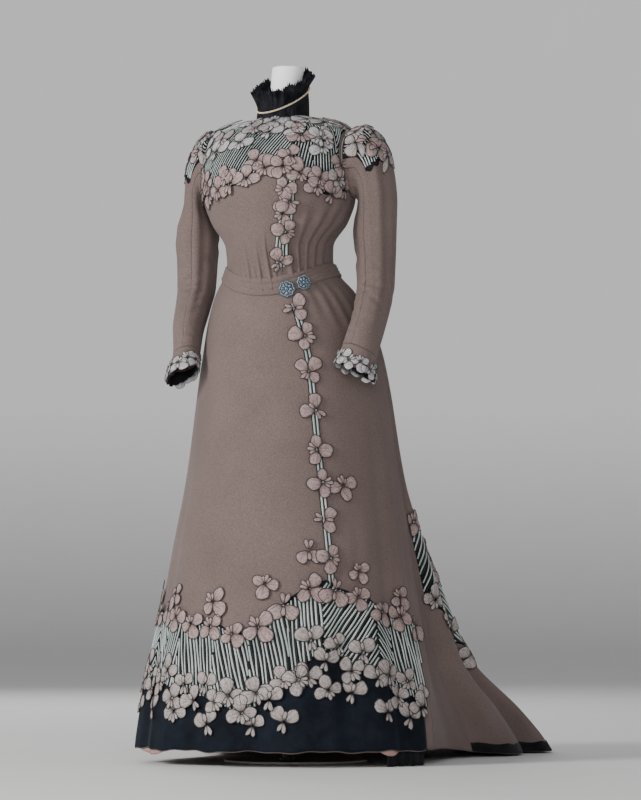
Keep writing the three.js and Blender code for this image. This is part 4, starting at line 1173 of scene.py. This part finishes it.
def flounce_shape(turn, v):
    """v is 0 at the floor and 1 at the top, where the frill is sewn on."""
    level = mix(FLOUNCE["foot"], FLOUNCE["top"], v)
    base_level = np.maximum(level, FRONT_HEM)
    part = (turn - FLOUNCE["from"]) / (FLOUNCE["to"] - FLOUNCE["from"])
    wave = np.sin(2 * np.pi * FLOUNCE["waves"] * part + 0.8 * np.sin(5 * part)) + 0.3 * np.sin(34 * part + 1)
    loose = 1 - ease((v - 0.45) / 0.55)
    inside = CLOTH + 1.4 + FLOUNCE["inside"] * loose - FLOUNCE["wave"] * loose * wave
    point = FRONT.lifted(turn, base_level, -inside)
    point[..., 2] = level + 1.5 * loose * np.sin(40 * part) * (1 - v)
    return point


def under_hem():
    """What shows under the front hem: a black frill on the left and turned-up corners of the lining."""
    grids = np.meshgrid(spread(FLOUNCE["from"], FLOUNCE["to"], 0.2), np.linspace(0, 1, 14))
    frill = panel(Parts(), Surface(flounce_shape, 0.1, 0.02), *grids, low=-0.9)
    thing("hem_flounce", frill, [SILK], ["flounce"])
    parts = Parts()
    for first, last, drop in ((-62, -33, 11), (52, 66, 9)):
        turns = spread(first, last, 0.5)
        part = (turns - first) / (last - first)
        low = FRONT_HEM + 6 - (drop + 6) * np.sin(np.pi * np.clip(part, 0.02, 0.98)) ** 0.6
        v = np.linspace(0, 1, 7)[:, None]
        level = mix(low[None, :], FRONT_HEM + 22, v)
        turn = np.broadcast_to(turns, level.shape)
        outer = FRONT.lifted(turn, np.maximum(level, FRONT_HEM), -2.6)
        outer[..., 2] = np.maximum(level, 12)
        inner = FRONT.lifted(turn, np.maximum(level, FRONT_HEM), -3.4)
        inner[..., 2] = outer[..., 2]
        shell(parts, outer, inner, grid_quads(*level.shape))
    thing("lining_corners", parts, [LINING])


# ---------------------------------------------------------------- closing strips
def strip_line(rows, level):
    levels, turns, halves = np.array(rows, float).T
    return np.interp(level, levels, turns), np.interp(level, levels, halves)


STRIP_LIFT = 0.5


def strip(node, surface, rows, braids, flowers, size, count):
    """Pale braids on a black ground with blossoms along them; count says how many the solids have."""
    ribbons = Parts()
    levels = spread(rows[0][0], rows[-1][0], 8)
    turns, halves = strip_line(rows, levels)
    across, _ = surface.directions(turns, levels)
    turn_size = np.linalg.norm(across, axis=-1)
    columns = np.linspace(-1, 1, 5)
    turn = turns[:, None] + columns[None, :] * (halves / turn_size)[:, None]
    level = np.broadcast_to(levels[:, None], turn.shape)
    net = panel(Parts(), surface, turn, level, low=STRIP_LIFT, high=STRIP_LIFT + 0.8)
    for place, half, stuff in braids:
        line = turns + place * halves / turn_size
        ribbon(ribbons, surface, line, levels, half, STRIP_LIFT + 0.8, 1.0, stuff)
    spots = []
    for i, flower_level in enumerate(flowers):
        middle, half = strip_line(rows, flower_level)
        sway = (0.35 if i % 2 else -0.5) * half / float(np.interp(flower_level, levels, turn_size))
        angle = (80 if i % 2 else -70) + RNG.uniform(-35, 35)
        kind = (PAIR, WHOLE, LEANING)[i % 3]
        lift = STRIP_LIFT + 2.2 + 0.8 * (i % 2)
        spots.append((middle + sway, flower_level, size, angle, lift, PINK_PETAL, kind))
    sown(f"{node}_strip_flowers", surface, spots, [f"flower_{node}_{i + 1}" for i in range(count)])
    thing(f"{node}_strip_net", net, [GROUND], [f"strip_{node}"])
    thing(f"{node}_strip_ribbons", ribbons, RIBBON_STUFF)


def closing_strips():
    pair = ((-0.55, 2.2, 0), (0.55, 2.2, 0), (0, 0.9, 1), (-1.1, 0.8, 1), (1.1, 0.8, 1))
    four = [(place, 2.2, 0) for place in (-0.75, -0.25, 0.25, 0.75)]
    four += [(place, 0.8, 1) for place in (-0.5, 0, 0.5)]
    strip("bodice", BODICE, BODICE_STRIP, four, (1068, 1112, 1142, 1166, 1190), 1.0, 3)
    strip("skirt", FRONT, SKIRT_STRIP, pair, (972, 900, 815, 735, 652, 584, 508, 428), 1.16, 10)


# ---------------------------------------------------------------- bodice and yoke
def bodice_panels():
    armholes = {"hole": off_armhole(0), "keep": outside_armhole(0)}
    panels = (
        ("bodice_front_right", -SIDE_SEAM, CLOSING, 1.8),
        ("bodice_front_left", CLOSING, SIDE_SEAM, 1.8),
        ("bodice_back", SIDE_SEAM, 360 - SIDE_SEAM, 3.4),
    )
    for name, first, last, step in panels:
        turns = even_turns(BODY, first + 0.1, last - 0.1, 1180, step)
        grids = np.meshgrid(turns, even_levels(WAIST + 0.4, NECK, 4.5))
        thing(name + "_cloth", panel(Parts(), BODICE, *grids, **armholes), [WOOL], [name])


def yoke_low(turn):
    turn = wrapped(turn)
    away = turn - CLOSING + 4
    part = np.where(away < 0, -away / YOKE["right"], away / YOKE["left"])
    front = YOKE["rise"] - YOKE["lobe"] * np.sin(np.minimum(part, 1.25) * np.pi / 2) ** 2
    return np.where(np.abs(turn) <= YOKE["edge"] + 4, front, YOKE["back_low"])


YOKE_LIFT = (0.4, 1.0)
YOKE_BASE = 1230.0  # level at which the yoke's ribbons are spaced
# Piece, its first and last turn, and its stretches of ribbons.
YOKE_SECTORS = (
    ("yoke_front_right", -86, CLOSING - 0.3, ((-86, -44, 26), (-44, -6, 22), (-6, 23.6, 26))),
    ("yoke_front_left", CLOSING + 0.3, 86, ((24.4, 42, 6), (42, 62, -6), (62, 86, 24))),
    ("yoke_back", 96, 264, ((96, 138, -26), (138, 180, -14), (180, 222, 14), (222, 264, 26))),
)


def in_armhole(surface, turn, level, margin):
    point = surface.shape(np.array([float(turn)]), np.array([float(level)]))
    return armhole_part(point, margin)[0] < 1 and abs(point[0, 0]) > ARMHOLE["chest"]


def yoke_ribbons(parts, sectors):
    """Ribbons of the yoke run from its lower edge to the neck, leaning as each sector says."""
    for first, last, slant in sectors:
        lean = math.tan(math.radians(slant))
        size = np.linalg.norm(BODY.directions(np.array([(first + last) / 2]), np.array([YOKE_BASE]))[0][0])
        step = 6.9 / size
        reach = abs(lean) * 140 / size
        for start in np.arange(first - reach, last + reach, step):
            lengths = np.arange(length_at(1176), length_at(YOKE["top"] - 2), 2.5)
            levels = level_at(lengths)
            turns = start + (lengths - length_at(YOKE_BASE)) * lean / size
            point = BODY.shape(turns, levels)
            open_part = (armhole_part(point, 8) > 1) | (np.abs(point[..., 0]) < ARMHOLE["chest"])
            inside = (turns > first) & (turns < last) & (levels > yoke_low(turns) + 2) & open_part
            every = np.arange(len(levels))
            for run in np.split(every, np.flatnonzero(np.diff(inside.astype(int))) + 1):
                if len(run) < 5 or not inside[run[0]]:
                    continue
                pick = np.linspace(run[0], run[-1], max(4, len(run) // 2))
                line, fine = np.interp(pick, every, turns), np.interp(pick, every, levels)
                ribbon(parts, BODICE, line, fine, 1.15 * RNG.uniform(0.75, 1.15), YOKE_LIFT[1], 0.5, 0)


def yoke():
    armholes = {"hole": off_armhole(6), "keep": outside_armhole(6)}
    for name, first, last, sectors in YOKE_SECTORS:
        ribbons = Parts()
        turns = even_turns(BODY, first, last, 1230, 4)
        low = yoke_low(turns) - 2 * np.abs(np.sin(np.pi * turns / 10))
        grids = edged_grid(turns, low, np.full(len(turns), YOKE["top"] - 0.5), 34)
        net = panel(Parts(), BODICE, *grids, low=YOKE_LIFT[0], high=YOKE_LIFT[1], **armholes)
        yoke_ribbons(ribbons, sectors)
        thing(name + "_net", net, [GROUND], [name])
        thing(name + "_ribbons", ribbons, RIBBON_STUFF)


# Rows of blossoms on the yoke: distance up from its lower edge along the body, step in turns, size, shade.
YOKE_ROWS = (
    (2, 13, 1.1, PINK_PETAL), (28, 24, 1.0, PINK_PETAL),
    (104, 22, 1.1, WHITE_PETAL), (128, 30, 1.1, PALE_PETAL),
)
# Blossoms of their own on the yoke: turn, level, size, angle, lift, shade and kind.
YOKE_EXTRA = (
    (4, 1340, 1.25, 178, 3, WHITE_PETAL, WHOLE), (-16, 1336, 1.15, 140, 3.4, WHITE_PETAL, PAIR),
    (40, 1340, 1.25, -30, 5, WHITE_PETAL, WHOLE), (56, 1334, 1.1, 20, 5, WHITE_PETAL, PAIR),
    (30, 1306, 1.25, 10, 4, PINK_PETAL, WHOLE), (46, 1300, 1.1, -20, 4, WHITE_PETAL, PAIR),
    (-78, 1322, 1.05, 30, 4, WHITE_PETAL, LEANING), (-60, 1326, 1.1, -40, 4, WHITE_PETAL, WHOLE),
    (76, 1330, 1.0, -20, 7, PINK_PETAL, PAIR), (88, 1318, 1.0, 10, 7, PALE_PETAL, WHOLE),
    (64, 1216, 1.05, 60, 4, PALE_PETAL, WHOLE), (66, 1246, 1.0, 100, 4, PINK_PETAL, PAIR),
    (-62, 1214, 1.05, -60, 4, PINK_PETAL, WHOLE), (-66, 1250, 1.0, -90, 4, PALE_PETAL, PAIR),
)


def yoke_flowers():
    for name, first, last in (("yoke_flowers_front", -84, 84), ("yoke_flowers_back", 100, 260)):
        spots = []
        for k, (rise, step, size, color) in enumerate(YOKE_ROWS):
            offset = (k % 2) * step / 2
            for i, turn in enumerate(np.arange(first + offset, last, step)):
                level = float(level_at(length_at(float(yoke_low(turn))) + rise + RNG.uniform(-5, 5)))
                level = min(level, YOKE["top"] - 14)
                if in_armhole(BODY, turn, level, 12):
                    continue
                kind = BLOSSOMS[int(RNG.integers(3))]
                spots.append((turn, level, size, RNG.uniform(-30, 30), 2.2 + (i % 3) * 0.9, color, kind))
        if first < 0:
            spots += YOKE_EXTRA
        sown(name, BODICE, spots)


# ---------------------------------------------------------------- sleeves
SIDES = (("left", 1), ("right", -1))
CAP = {"first": 2, "last": 122, "rise": 56, "half": 82, "scallop": 8}
# Blossoms of a sleeve's head: around its outer edge, distance from the armhole, angle.
CAP_SPOTS = (
    (-62, 30, 20), (-32, 26, -30), (0, 28, 25), (32, 26, -20), (58, 30, 32), (-48, 58, 12), (-16, 58, -24),
    (18, 60, 20), (46, 58, -14), (-30, 90, 14), (4, 92, -12), (34, 88, 18), (-12, 118, -20), (16, 118, 22),
)
CUFF_FLOWERS = (0, 32, 64, 96, 128, 160, 196, 232, 268, 304, 334)


def sleeve(side_name, side, surface):
    rows = spread(0, SLEEVE_LAST, 0.09)
    for part, first, last in (("upper", -99.9, 99.9), ("under", 100.1, 259.9)):
        name = f"sleeve_{part}_{side_name}"
        cloth = panel(Parts(), surface, *np.meshgrid(spread(first, last, 4), rows), flip=side < 0)
        thing(name + "_cloth", cloth, [WOOL], [name])


def laid_by_length(surface):
    """The head of a sleeve by angle and by real distance from the armhole, in place of its rows."""
    rows = np.linspace(0, 6, 240)
    angles = np.arange(-110, 111, 5.0)
    distances = np.arange(0, 181, 2.0)
    points = surface.shape(angles[:, None], rows[None, :])
    steps = np.linalg.norm(np.diff(points, axis=1), axis=2)
    lengths = np.concatenate([np.zeros((len(angles), 1)), np.cumsum(steps, 1)], 1)
    table = np.array([np.interp(distances, line, rows) for line in lengths])

    def shape(around, distance):
        around, distance = alike(around, distance)
        across = np.clip((around - angles[0]) / 5, 0, len(angles) - 1.001)
        along = np.clip(distance / 2, 0, len(distances) - 1.001)
        i, j = across.astype(int), along.astype(int)
        near = mix(table[i, j], table[i + 1, j], across - i)
        far = mix(table[i, j + 1], table[i + 1, j + 1], across - i)
        return surface.shape(around, mix(near, far, along - j))

    return shape


def sleeve_cap(side_name, side, surface):
    """Net with ribbons over the head of the sleeve, and blossoms that fall over its edge."""
    head = Surface(laid_by_length(surface), 0.5, 1.5, turned=side < 0)
    ribbons = Parts()
    arounds = spread(-CAP["half"], CAP["half"], 3)

    def low_edge(around):
        return CAP["last"] - CAP["rise"] * (around / CAP["half"]) ** 2

    last = low_edge(arounds) + CAP["scallop"] * np.abs(np.sin(np.pi * arounds / 20))
    arounds, distances = np.broadcast_arrays(arounds, mix(CAP["first"], last, np.linspace(0, 1, 30)[:, None]))
    net = panel(Parts(), head, arounds, distances, low=0.5, high=1.1, flip=side < 0)
    for around in np.arange(-78, 79, 6.8):
        fine = np.arange(CAP["first"] + 2, CAP["last"] - 4, 4.0)
        lean = around + 0.12 * (fine - 60)
        keep = (np.abs(lean) < CAP["half"] - 2) & (fine < low_edge(lean) - 3)
        if keep.sum() > 4:
            ribbon(ribbons, head, lean[keep], fine[keep], 1.25, 1.1, 0.6, 0)
    name = f"sleeve_cap_{side_name}"
    thing(name + "_net", net, [GROUND], [name])
    thing(name + "_ribbons", ribbons, RIBBON_STUFF)
    spots = []
    for i, (around, distance, angle) in enumerate(CAP_SPOTS):
        k = i % 3
        color = (WHITE_PETAL, PALE_PETAL, PINK_PETAL)[k] if distance < 90 else PALE_PETAL
        spots.append((around, distance, 1.0 + 0.06 * k, 180 + angle, 1.4 + 0.8 * k, color, BLOSSOMS[k]))
    sown(f"sleeve_flowers_{side_name}", head, spots)


def cuff(side_name, side):
    surface = Surface(cuff_shape(side), 1, 0.03, turned=side < 0)
    v = np.linspace(0, 1, 14)[:, None]
    options = {"closed": True, "flip": side < 0}
    arounds = np.arange(0, 360, 4.0)
    edge = 1.86 + 0.1 * np.abs(np.sin(np.radians(arounds) * 5))
    cloth = panel(Parts(), surface, *np.broadcast_arrays(arounds, mix(0.02, edge, v)), **options)
    thing(f"cuff_{side_name}_cloth", cloth, [WOOL], [f"cuff_{side_name}"])
    spots = []
    for i, around in enumerate(CUFF_FLOWERS):
        row, angle, lift, kind = ((1.34, 204, 1.0, WHOLE), (1.56, 156, 1.8, PAIR))[i % 2]
        spots.append((around, row, 0.8, angle, lift, WHITE_PETAL, kind))
    sown(f"cuff_flowers_{side_name}", surface, spots)
    teeth = np.arange(0, 360, 2.0)
    edge = 2.02 + 0.16 * np.abs(np.sin(np.radians(teeth) * 6)) ** 0.7
    waved = -(CLOTH + 0.9) + 0.5 * np.sin(np.radians(teeth) * 24)[None, :] * v**3
    grids = np.broadcast_arrays(teeth, mix(1.0, edge, v))
    lining = panel(Parts(), surface, *grids, low=waved - 0.9, high=waved, **options)
    thing(f"cuff_lining_{side_name}_silk", lining, [SILK], [f"cuff_lining_{side_name}"])


def sleeves():
    for side_name, side in SIDES:
        surface = Surface(sleeve_shape(side), 0.5, 0.03, turned=side < 0)
        sleeve(side_name, side, surface)
        sleeve_cap(side_name, side, surface)
        cuff(side_name, side)


# ---------------------------------------------------------------- collar
def neck_point(turn, radius, height):
    angle = np.radians(turn)
    turn, radius, height = np.broadcast_arrays(turn, radius, height)
    return np.stack([radius * np.sin(angle), NECK_Y - radius * np.cos(angle), height], -1)


def collar_height(edge, turn):
    """Height of the cord or of the rim of the frill; both lie lower at the front and on the right."""
    middle, front, side = (COLLAR[edge + part] for part in ("_middle", "_front", "_side"))
    return middle - front * np.cos(np.radians(turn)) + side * np.sin(np.radians(turn))


def stand_shape(turn, v):
    """The gathered stand of the collar; v is 0 at the neck seam and 1 at the cord."""
    turn, v = alike(turn, v)
    angle = np.radians(turn)
    gathers = 0.55 * np.sin(46 * angle + 1.7 * np.sin(5 * angle)) + 0.35 * np.sin(19 * angle + 3 * v)
    radius = mix(COLLAR["radius"], COLLAR["waist"], v) + gathers * np.sin(np.pi * np.clip(v, 0, 1))
    return neck_point(turn, radius, mix(NECK + 0.4, collar_height("cord", turn), v))


def frill_shape(layer):
    """One layer of the pinked frill above the cord."""

    def shape(turn, v):
        turn, v = alike(turn, v)
        angle = np.radians(turn)
        phase = (0, 1.9)[layer]
        swing = np.sin(17 * angle + phase + 1.6 * np.sin(3 * angle + phase))
        swing = swing * (0.7 + 0.3 * np.sin(5 * angle + phase))
        small = np.sin(41 * angle + 2.6 * np.sin(4 * angle) + phase + 2.2 * v)
        flare = np.clip(v, 0, 1.2) ** 1.4
        radius = mix(COLLAR["frill_foot"], COLLAR["frill_rim"], flare) - 3.4 * layer * (0.3 + v)
        curl = np.clip(v, 0, 2) ** 0.8
        radius = radius + 1.9 * COLLAR["wave"] * curl * swing + 1.1 * v * small
        drop = 3 * v * np.sin(7 * angle + 2 + phase) - 4 * v * swing - 0.9 * v * small + 2.5 * layer * v
        height = mix(collar_height("cord", turn) + 0.4, collar_height("rim", turn), v)
        return neck_point(turn, radius, height + drop)

    return shape


def collar():
    grids = np.meshgrid(np.arange(0, 360, 1.5), np.linspace(0, 1, 22))
    stand = panel(Parts(), Surface(stand_shape, 0.3, 0.02), *grids, closed=True, low=-1.2)
    thing("collar_stand_gauze", stand, [GAUZE], ["collar_stand"])
    frill = Parts()
    fine = np.arange(0, 360, 0.9)
    teeth = 1 + 0.07 * ((np.arange(len(fine)) % 5) - 2) / 2 + 0.05 * np.sin(fine * 1.9)
    grids = np.broadcast_arrays(fine, np.linspace(0, 1, 15)[:, None] * teeth)
    for layer in (0, 1):
        panel(frill, Surface(frill_shape(layer), 0.2, 0.02), *grids, closed=True, low=-0.7)
    thing("collar_frill_gauze", frill, [GAUZE], ["collar_frill"])


def collar_cord():
    """Two cream strands twisted round each other."""
    parts = Parts()
    steps, sides, twists = 720, 8, 58
    turns = np.arange(steps) * 360 / steps
    middle = COLLAR["waist"] + 0.4 + COLLAR["cord"]
    for strand in (0, 1):
        twist = np.radians(turns) * twists + strand * np.pi
        centre_out, centre_up = 0.95 * np.cos(twist), 0.95 * np.sin(twist)
        rings = []
        for k in range(sides):
            around = 2 * math.pi * k / sides
            radius = middle + centre_out + 1.2 * math.cos(around)
            height = collar_height("cord", turns) - COLLAR["cord"] + centre_up + 1.2 * math.sin(around)
            rings.append(neck_point(turns, radius, height))
        quads = grid_quads(sides + 1, steps, closed=True) % (sides * steps)
        parts.add(np.stack(rings), quads)
    thing("collar_cord_silk", parts, [CREAM], ["collar_cord"])


# ---------------------------------------------------------------- belt and clasp
def belt():
    turns = np.arange(0, 360, 2.0)
    middle = (BELT["low"] + BELT["high"]) / 2
    v = np.linspace(0, 1, 26)[:, None]
    wide = 1 + 0.18 * np.maximum(0, np.cos(np.radians(turns)))
    level = middle + (mix(BELT["low"], BELT["high"], v) - middle) * wide[None, :]
    uneven = 0.12 * np.sin(np.radians(turns) * 3 + 1)[None, :]
    folds = np.abs(np.sin(np.pi * (BELT["folds"] + 1) * (v + uneven * v * (1 - v))))
    rounded = np.minimum(1, 8 * np.minimum(v, 1 - v))
    high = BELT["rest"] + 0.9 + (BELT["thick"] - 0.9) * rounded + BELT["fold"] * folds**0.6 * rounded
    cloth = panel(Parts(), BODY, *np.broadcast_arrays(turns, level), closed=True, low=BELT["rest"], high=high)
    thing("belt_cloth", cloth, [WOOL], ["belt"])


def clasp_height(part, angle):
    """Relief of a clasp: a rosette in a ring of scrolled petals with a beaded rim."""
    dome = 2.4 + 2.0 * (1 - part**2)
    boss = 1.6 * bell(part, 0, 0.2)
    petals = 1.5 * np.abs(np.cos(angle * 4)) ** 0.7 * bell(part, 0.46, 0.17)
    groove = -0.9 * bell(part, 0.27, 0.045) - 0.8 * bell(part, 0.7, 0.04)
    beads = 1.2 * np.abs(np.cos(angle * 13)) * bell(part, 0.86, 0.09)
    scroll = 0.7 * np.sin(angle * 8 + part * 14) * bell(part, 0.6, 0.12)
    edge = ease((1 - part) / 0.06)
    return (dome + boss + petals + groove + beads + scroll) * (0.25 + 0.75 * edge)


def clasps():
    rings, columns = 33, 208
    parts_of, angles = np.linspace(0, 1, rings + 1)[1:], np.linspace(0, 2 * math.pi, columns, endpoint=False)
    part, angle = np.meshgrid(parts_of, angles, indexing="ij")
    j, after = ring_of(columns)
    last, foot = (rings - 1) * columns, rings * columns
    peak, base = foot + columns, foot + columns + 1
    i = np.arange(rings - 1)[:, None] * columns
    corners = np.broadcast_arrays(i + j, i + columns + j, i + columns + after, i + after)
    skin = np.stack(corners, -1).reshape(-1, 4)
    rim = np.stack([last + j, foot + j, foot + after, last + after], -1)
    hub = np.stack([np.full(columns, peak), j, after], -1)
    back = np.stack([np.full(columns, base), foot + after, foot + j], -1)
    for name, (turn, level, radius, lift) in zip(("clasp_right", "clasp_left"), CLASPS):
        across = body(turn + 1, level) - body(turn - 1, level)
        right = unit(np.array([across[0], across[1], 0.0]))
        out, above = np.array([right[1], -right[0], 0.0]), np.array([0, 0, 1.0])
        seat = body(turn, level) + out * lift
        reach = radius * (0.95 + 0.05 * np.cos(angle * 8)) * part
        flat = reach[..., None] * (np.cos(angle)[..., None] * right + np.sin(angle)[..., None] * above)
        top = seat + flat + out * clasp_height(part, angle)[..., None]
        middle = seat + out * clasp_height(0, 0)
        points = np.concatenate([top.reshape(-1, 3), seat + flat[-1], [middle], [seat]])
        thing(name + "_metal", Parts().add(points, [skin, rim, hub, back]), [METAL], [name])


# ---------------------------------------------------------------- dress form and stand
FORM_RIM = ((33.4, 8), (33.1, 4), (32.2, 1.9), (31, 0.8), (28, 0.15), (20, 0))  # radius, down from the top


def form_rings():
    turns = np.arange(0, 360, 4.0)
    ahead = np.cos(np.radians(turns))
    hips = []
    levels = np.linspace(FORM_HIPS[0][0], FORM_HIPS[-1][0], 12)
    z, half, front, back, middle = np.array(FORM_HIPS, float).T
    for level in levels:
        h, f, b, m = (np.interp(level, z, column) for column in (half, front, back, middle))
        reach = np.where(ahead > 0, m + f, b - m)
        hips.append(np.stack([h * np.sin(np.radians(turns)), m - reach * ahead, 0 * turns + level], -1))
    inset_levels, insets = np.array(FORM_INSET, float).T
    torso = []
    for level in spread(inset_levels[0], inset_levels[-1], 8):
        inset = np.interp(level, inset_levels, insets)
        torso.append(BODY.lifted(turns, level + 0 * turns, -inset))
    heights, radii, asides, behinds = np.array(FORM_NECK, float).T
    top = heights[-1]
    upright = np.linspace(heights[0], heights[-2], 26)
    rows = list(zip(upright, smooth(heights, radii, upright)))
    rows += [(top - down, radius) for radius, down in FORM_RIM]
    neck = []
    for height, radius in rows:
        lean = [np.interp(height, heights, asides), np.interp(height, heights, behinds), 0]
        neck.append(neck_point(turns, np.full(len(turns), radius), height) + np.array(lean))
    return hips + torso + neck


def dress_form():
    rings = form_rings()
    columns = len(rings[0])
    points = np.concatenate(rings + [rings[0].mean(0)[None], rings[-1].mean(0)[None]])
    low, high = len(rings) * columns, len(rings) * columns + 1
    j, after = ring_of(columns)
    last = (len(rings) - 1) * columns
    parts = Parts().add(points, [
        grid_quads(len(rings), columns, closed=True),
        np.stack([np.full(columns, low), after, j], -1),
        np.stack([np.full(columns, high), last + j, last + after], -1),
    ])
    thing("dress_form", parts, [FORM_SKIN], ["form_torso"])


def stand_finish():
    """The pole and its plates keep the solids' shapes."""
    for node, material in (("form_pole", POLE_PAINT), ("form_foot", POLE_PAINT), ("form_base", BASE_PAINT)):
        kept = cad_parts[node]
        kept.data.materials.clear()
        kept.data.materials.append(material)


# ---------------------------------------------------------------- camera, light and floor
def view_camera():
    distance, height, azimuth = 9.0, 0.4, math.radians(20)
    aside, aim = 0.085, 0.761
    data = bpy.data.cameras.new("camera")
    data.lens, data.sensor_width = 192.9, 36
    data.clip_start, data.clip_end = 0.5, 100
    made = bpy.data.objects.new("camera", data)
    bpy.context.scene.collection.objects.link(made)
    made.location = (distance * math.sin(azimuth), -distance * math.cos(azimuth), height)
    target = Vector((aside * math.cos(azimuth), aside * math.sin(azimuth), aim))
    made.rotation_euler = (target - made.location).to_track_quat("-Z", "Y").to_euler()
    bpy.context.scene.camera = made


def softbox(name, place, aim, size, power, color=(1, 1, 1)):
    data = bpy.data.lights.new(name, "AREA")
    data.shape, data.size, data.energy, data.color = "DISK", size, power, color
    made = bpy.data.objects.new(name, data)
    bpy.context.scene.collection.objects.link(made)
    made.location = place
    made.rotation_euler = (Vector(aim) - Vector(place)).to_track_quat("-Z", "Y").to_euler()
    made.visible_camera = False


def studio():
    world = bpy.data.worlds.new("studio")
    bpy.context.scene.world = world
    world.use_nodes = True
    background = world.node_tree.nodes["Background"]
    background.inputs["Color"].default_value = (0.93, 0.95, 1, 1)
    background.inputs["Strength"].default_value = 0.22
    softbox("key", (-3.6, -5.2, 3.0), (0, 0, 0.8), 2.0, 430, (1, 0.985, 0.96))
    softbox("front", (2.2, -6.4, 2.0), (0, 0, 0.7), 2.4, 185, (1, 0.99, 0.98))
    softbox("fill", (3.6, -4.6, 1.6), (0, 0, 0.7), 2.6, 6, (0.95, 0.97, 1))
    softbox("back", (-2.6, 3.8, 3.0), (0, 0.2, 0.8), 2.4, 90)


WALL_GLOW = 0.33  # light that the wall gives off at its top


def floor_material():
    """A pale matt floor; the wall behind it glows softly, as a lit backdrop does."""
    made = Shader("pale_floor", (0.74, 0.735, 0.73), roughness=0.9, specular=0.1)
    where = made.place()
    tone = made.noise(where, 3, detail=3)
    made.set_color(made.ramp(tone, (0.3, (0.73, 0.725, 0.72)), (0.7, (0.75, 0.745, 0.74))))
    height = made.node("SeparateXYZ", Vector=where).outputs["Z"]
    glow = made.node("MapRange", Value=height, From_Min=0.0, From_Max=1.6, To_Min=0.0, To_Max=WALL_GLOW)
    made.tree.links.new(glow.outputs["Result"], made.shader.inputs["Emission Strength"])
    made.shader.inputs["Emission Color"].default_value = (1, 0.985, 0.98, 1)
    return made.material


def bowl():
    """A pale floor that turns up into a wall far behind every view."""
    profile = [(0.0, 0.0), (6, 0), (12, 0), (18, 0), (20, 0.35), (22, 1.4), (23.4, 3.4), (24, 6), (24, 14)]
    sides = 96
    points, faces = [(0, 0, 0)], []
    angles = [2 * math.pi * k / sides for k in range(sides)]
    for radius, height in profile[1:]:
        points += [(radius * math.cos(angle), radius * math.sin(angle), height) for angle in angles]
    for k in range(sides):
        faces.append((0, 1 + k, 1 + (k + 1) % sides))
    for ring in range(len(profile) - 2):
        a, b = 1 + ring * sides, 1 + (ring + 1) * sides
        faces += [(a + k, b + k, b + (k + 1) % sides, a + (k + 1) % sides) for k in range(sides)]
    mesh = bpy.data.meshes.new("floor")
    mesh.from_pydata(points, [], faces)
    mesh.polygons.foreach_set("use_smooth", [True] * len(faces))
    mesh.materials.append(floor_material())
    made = bpy.data.objects.new("floor", mesh)
    made.location.z = -0.0005
    bpy.context.scene.collection.objects.link(made)


view_camera()
studio()
bowl()
skirt_panels()
hem_velvet()
borders()
binding()
under_hem()
closing_strips()
bodice_panels()
yoke()
yoke_flowers()
sleeves()
collar()
collar_cord()
belt()
clasps()
dress_form()
stand_finish()
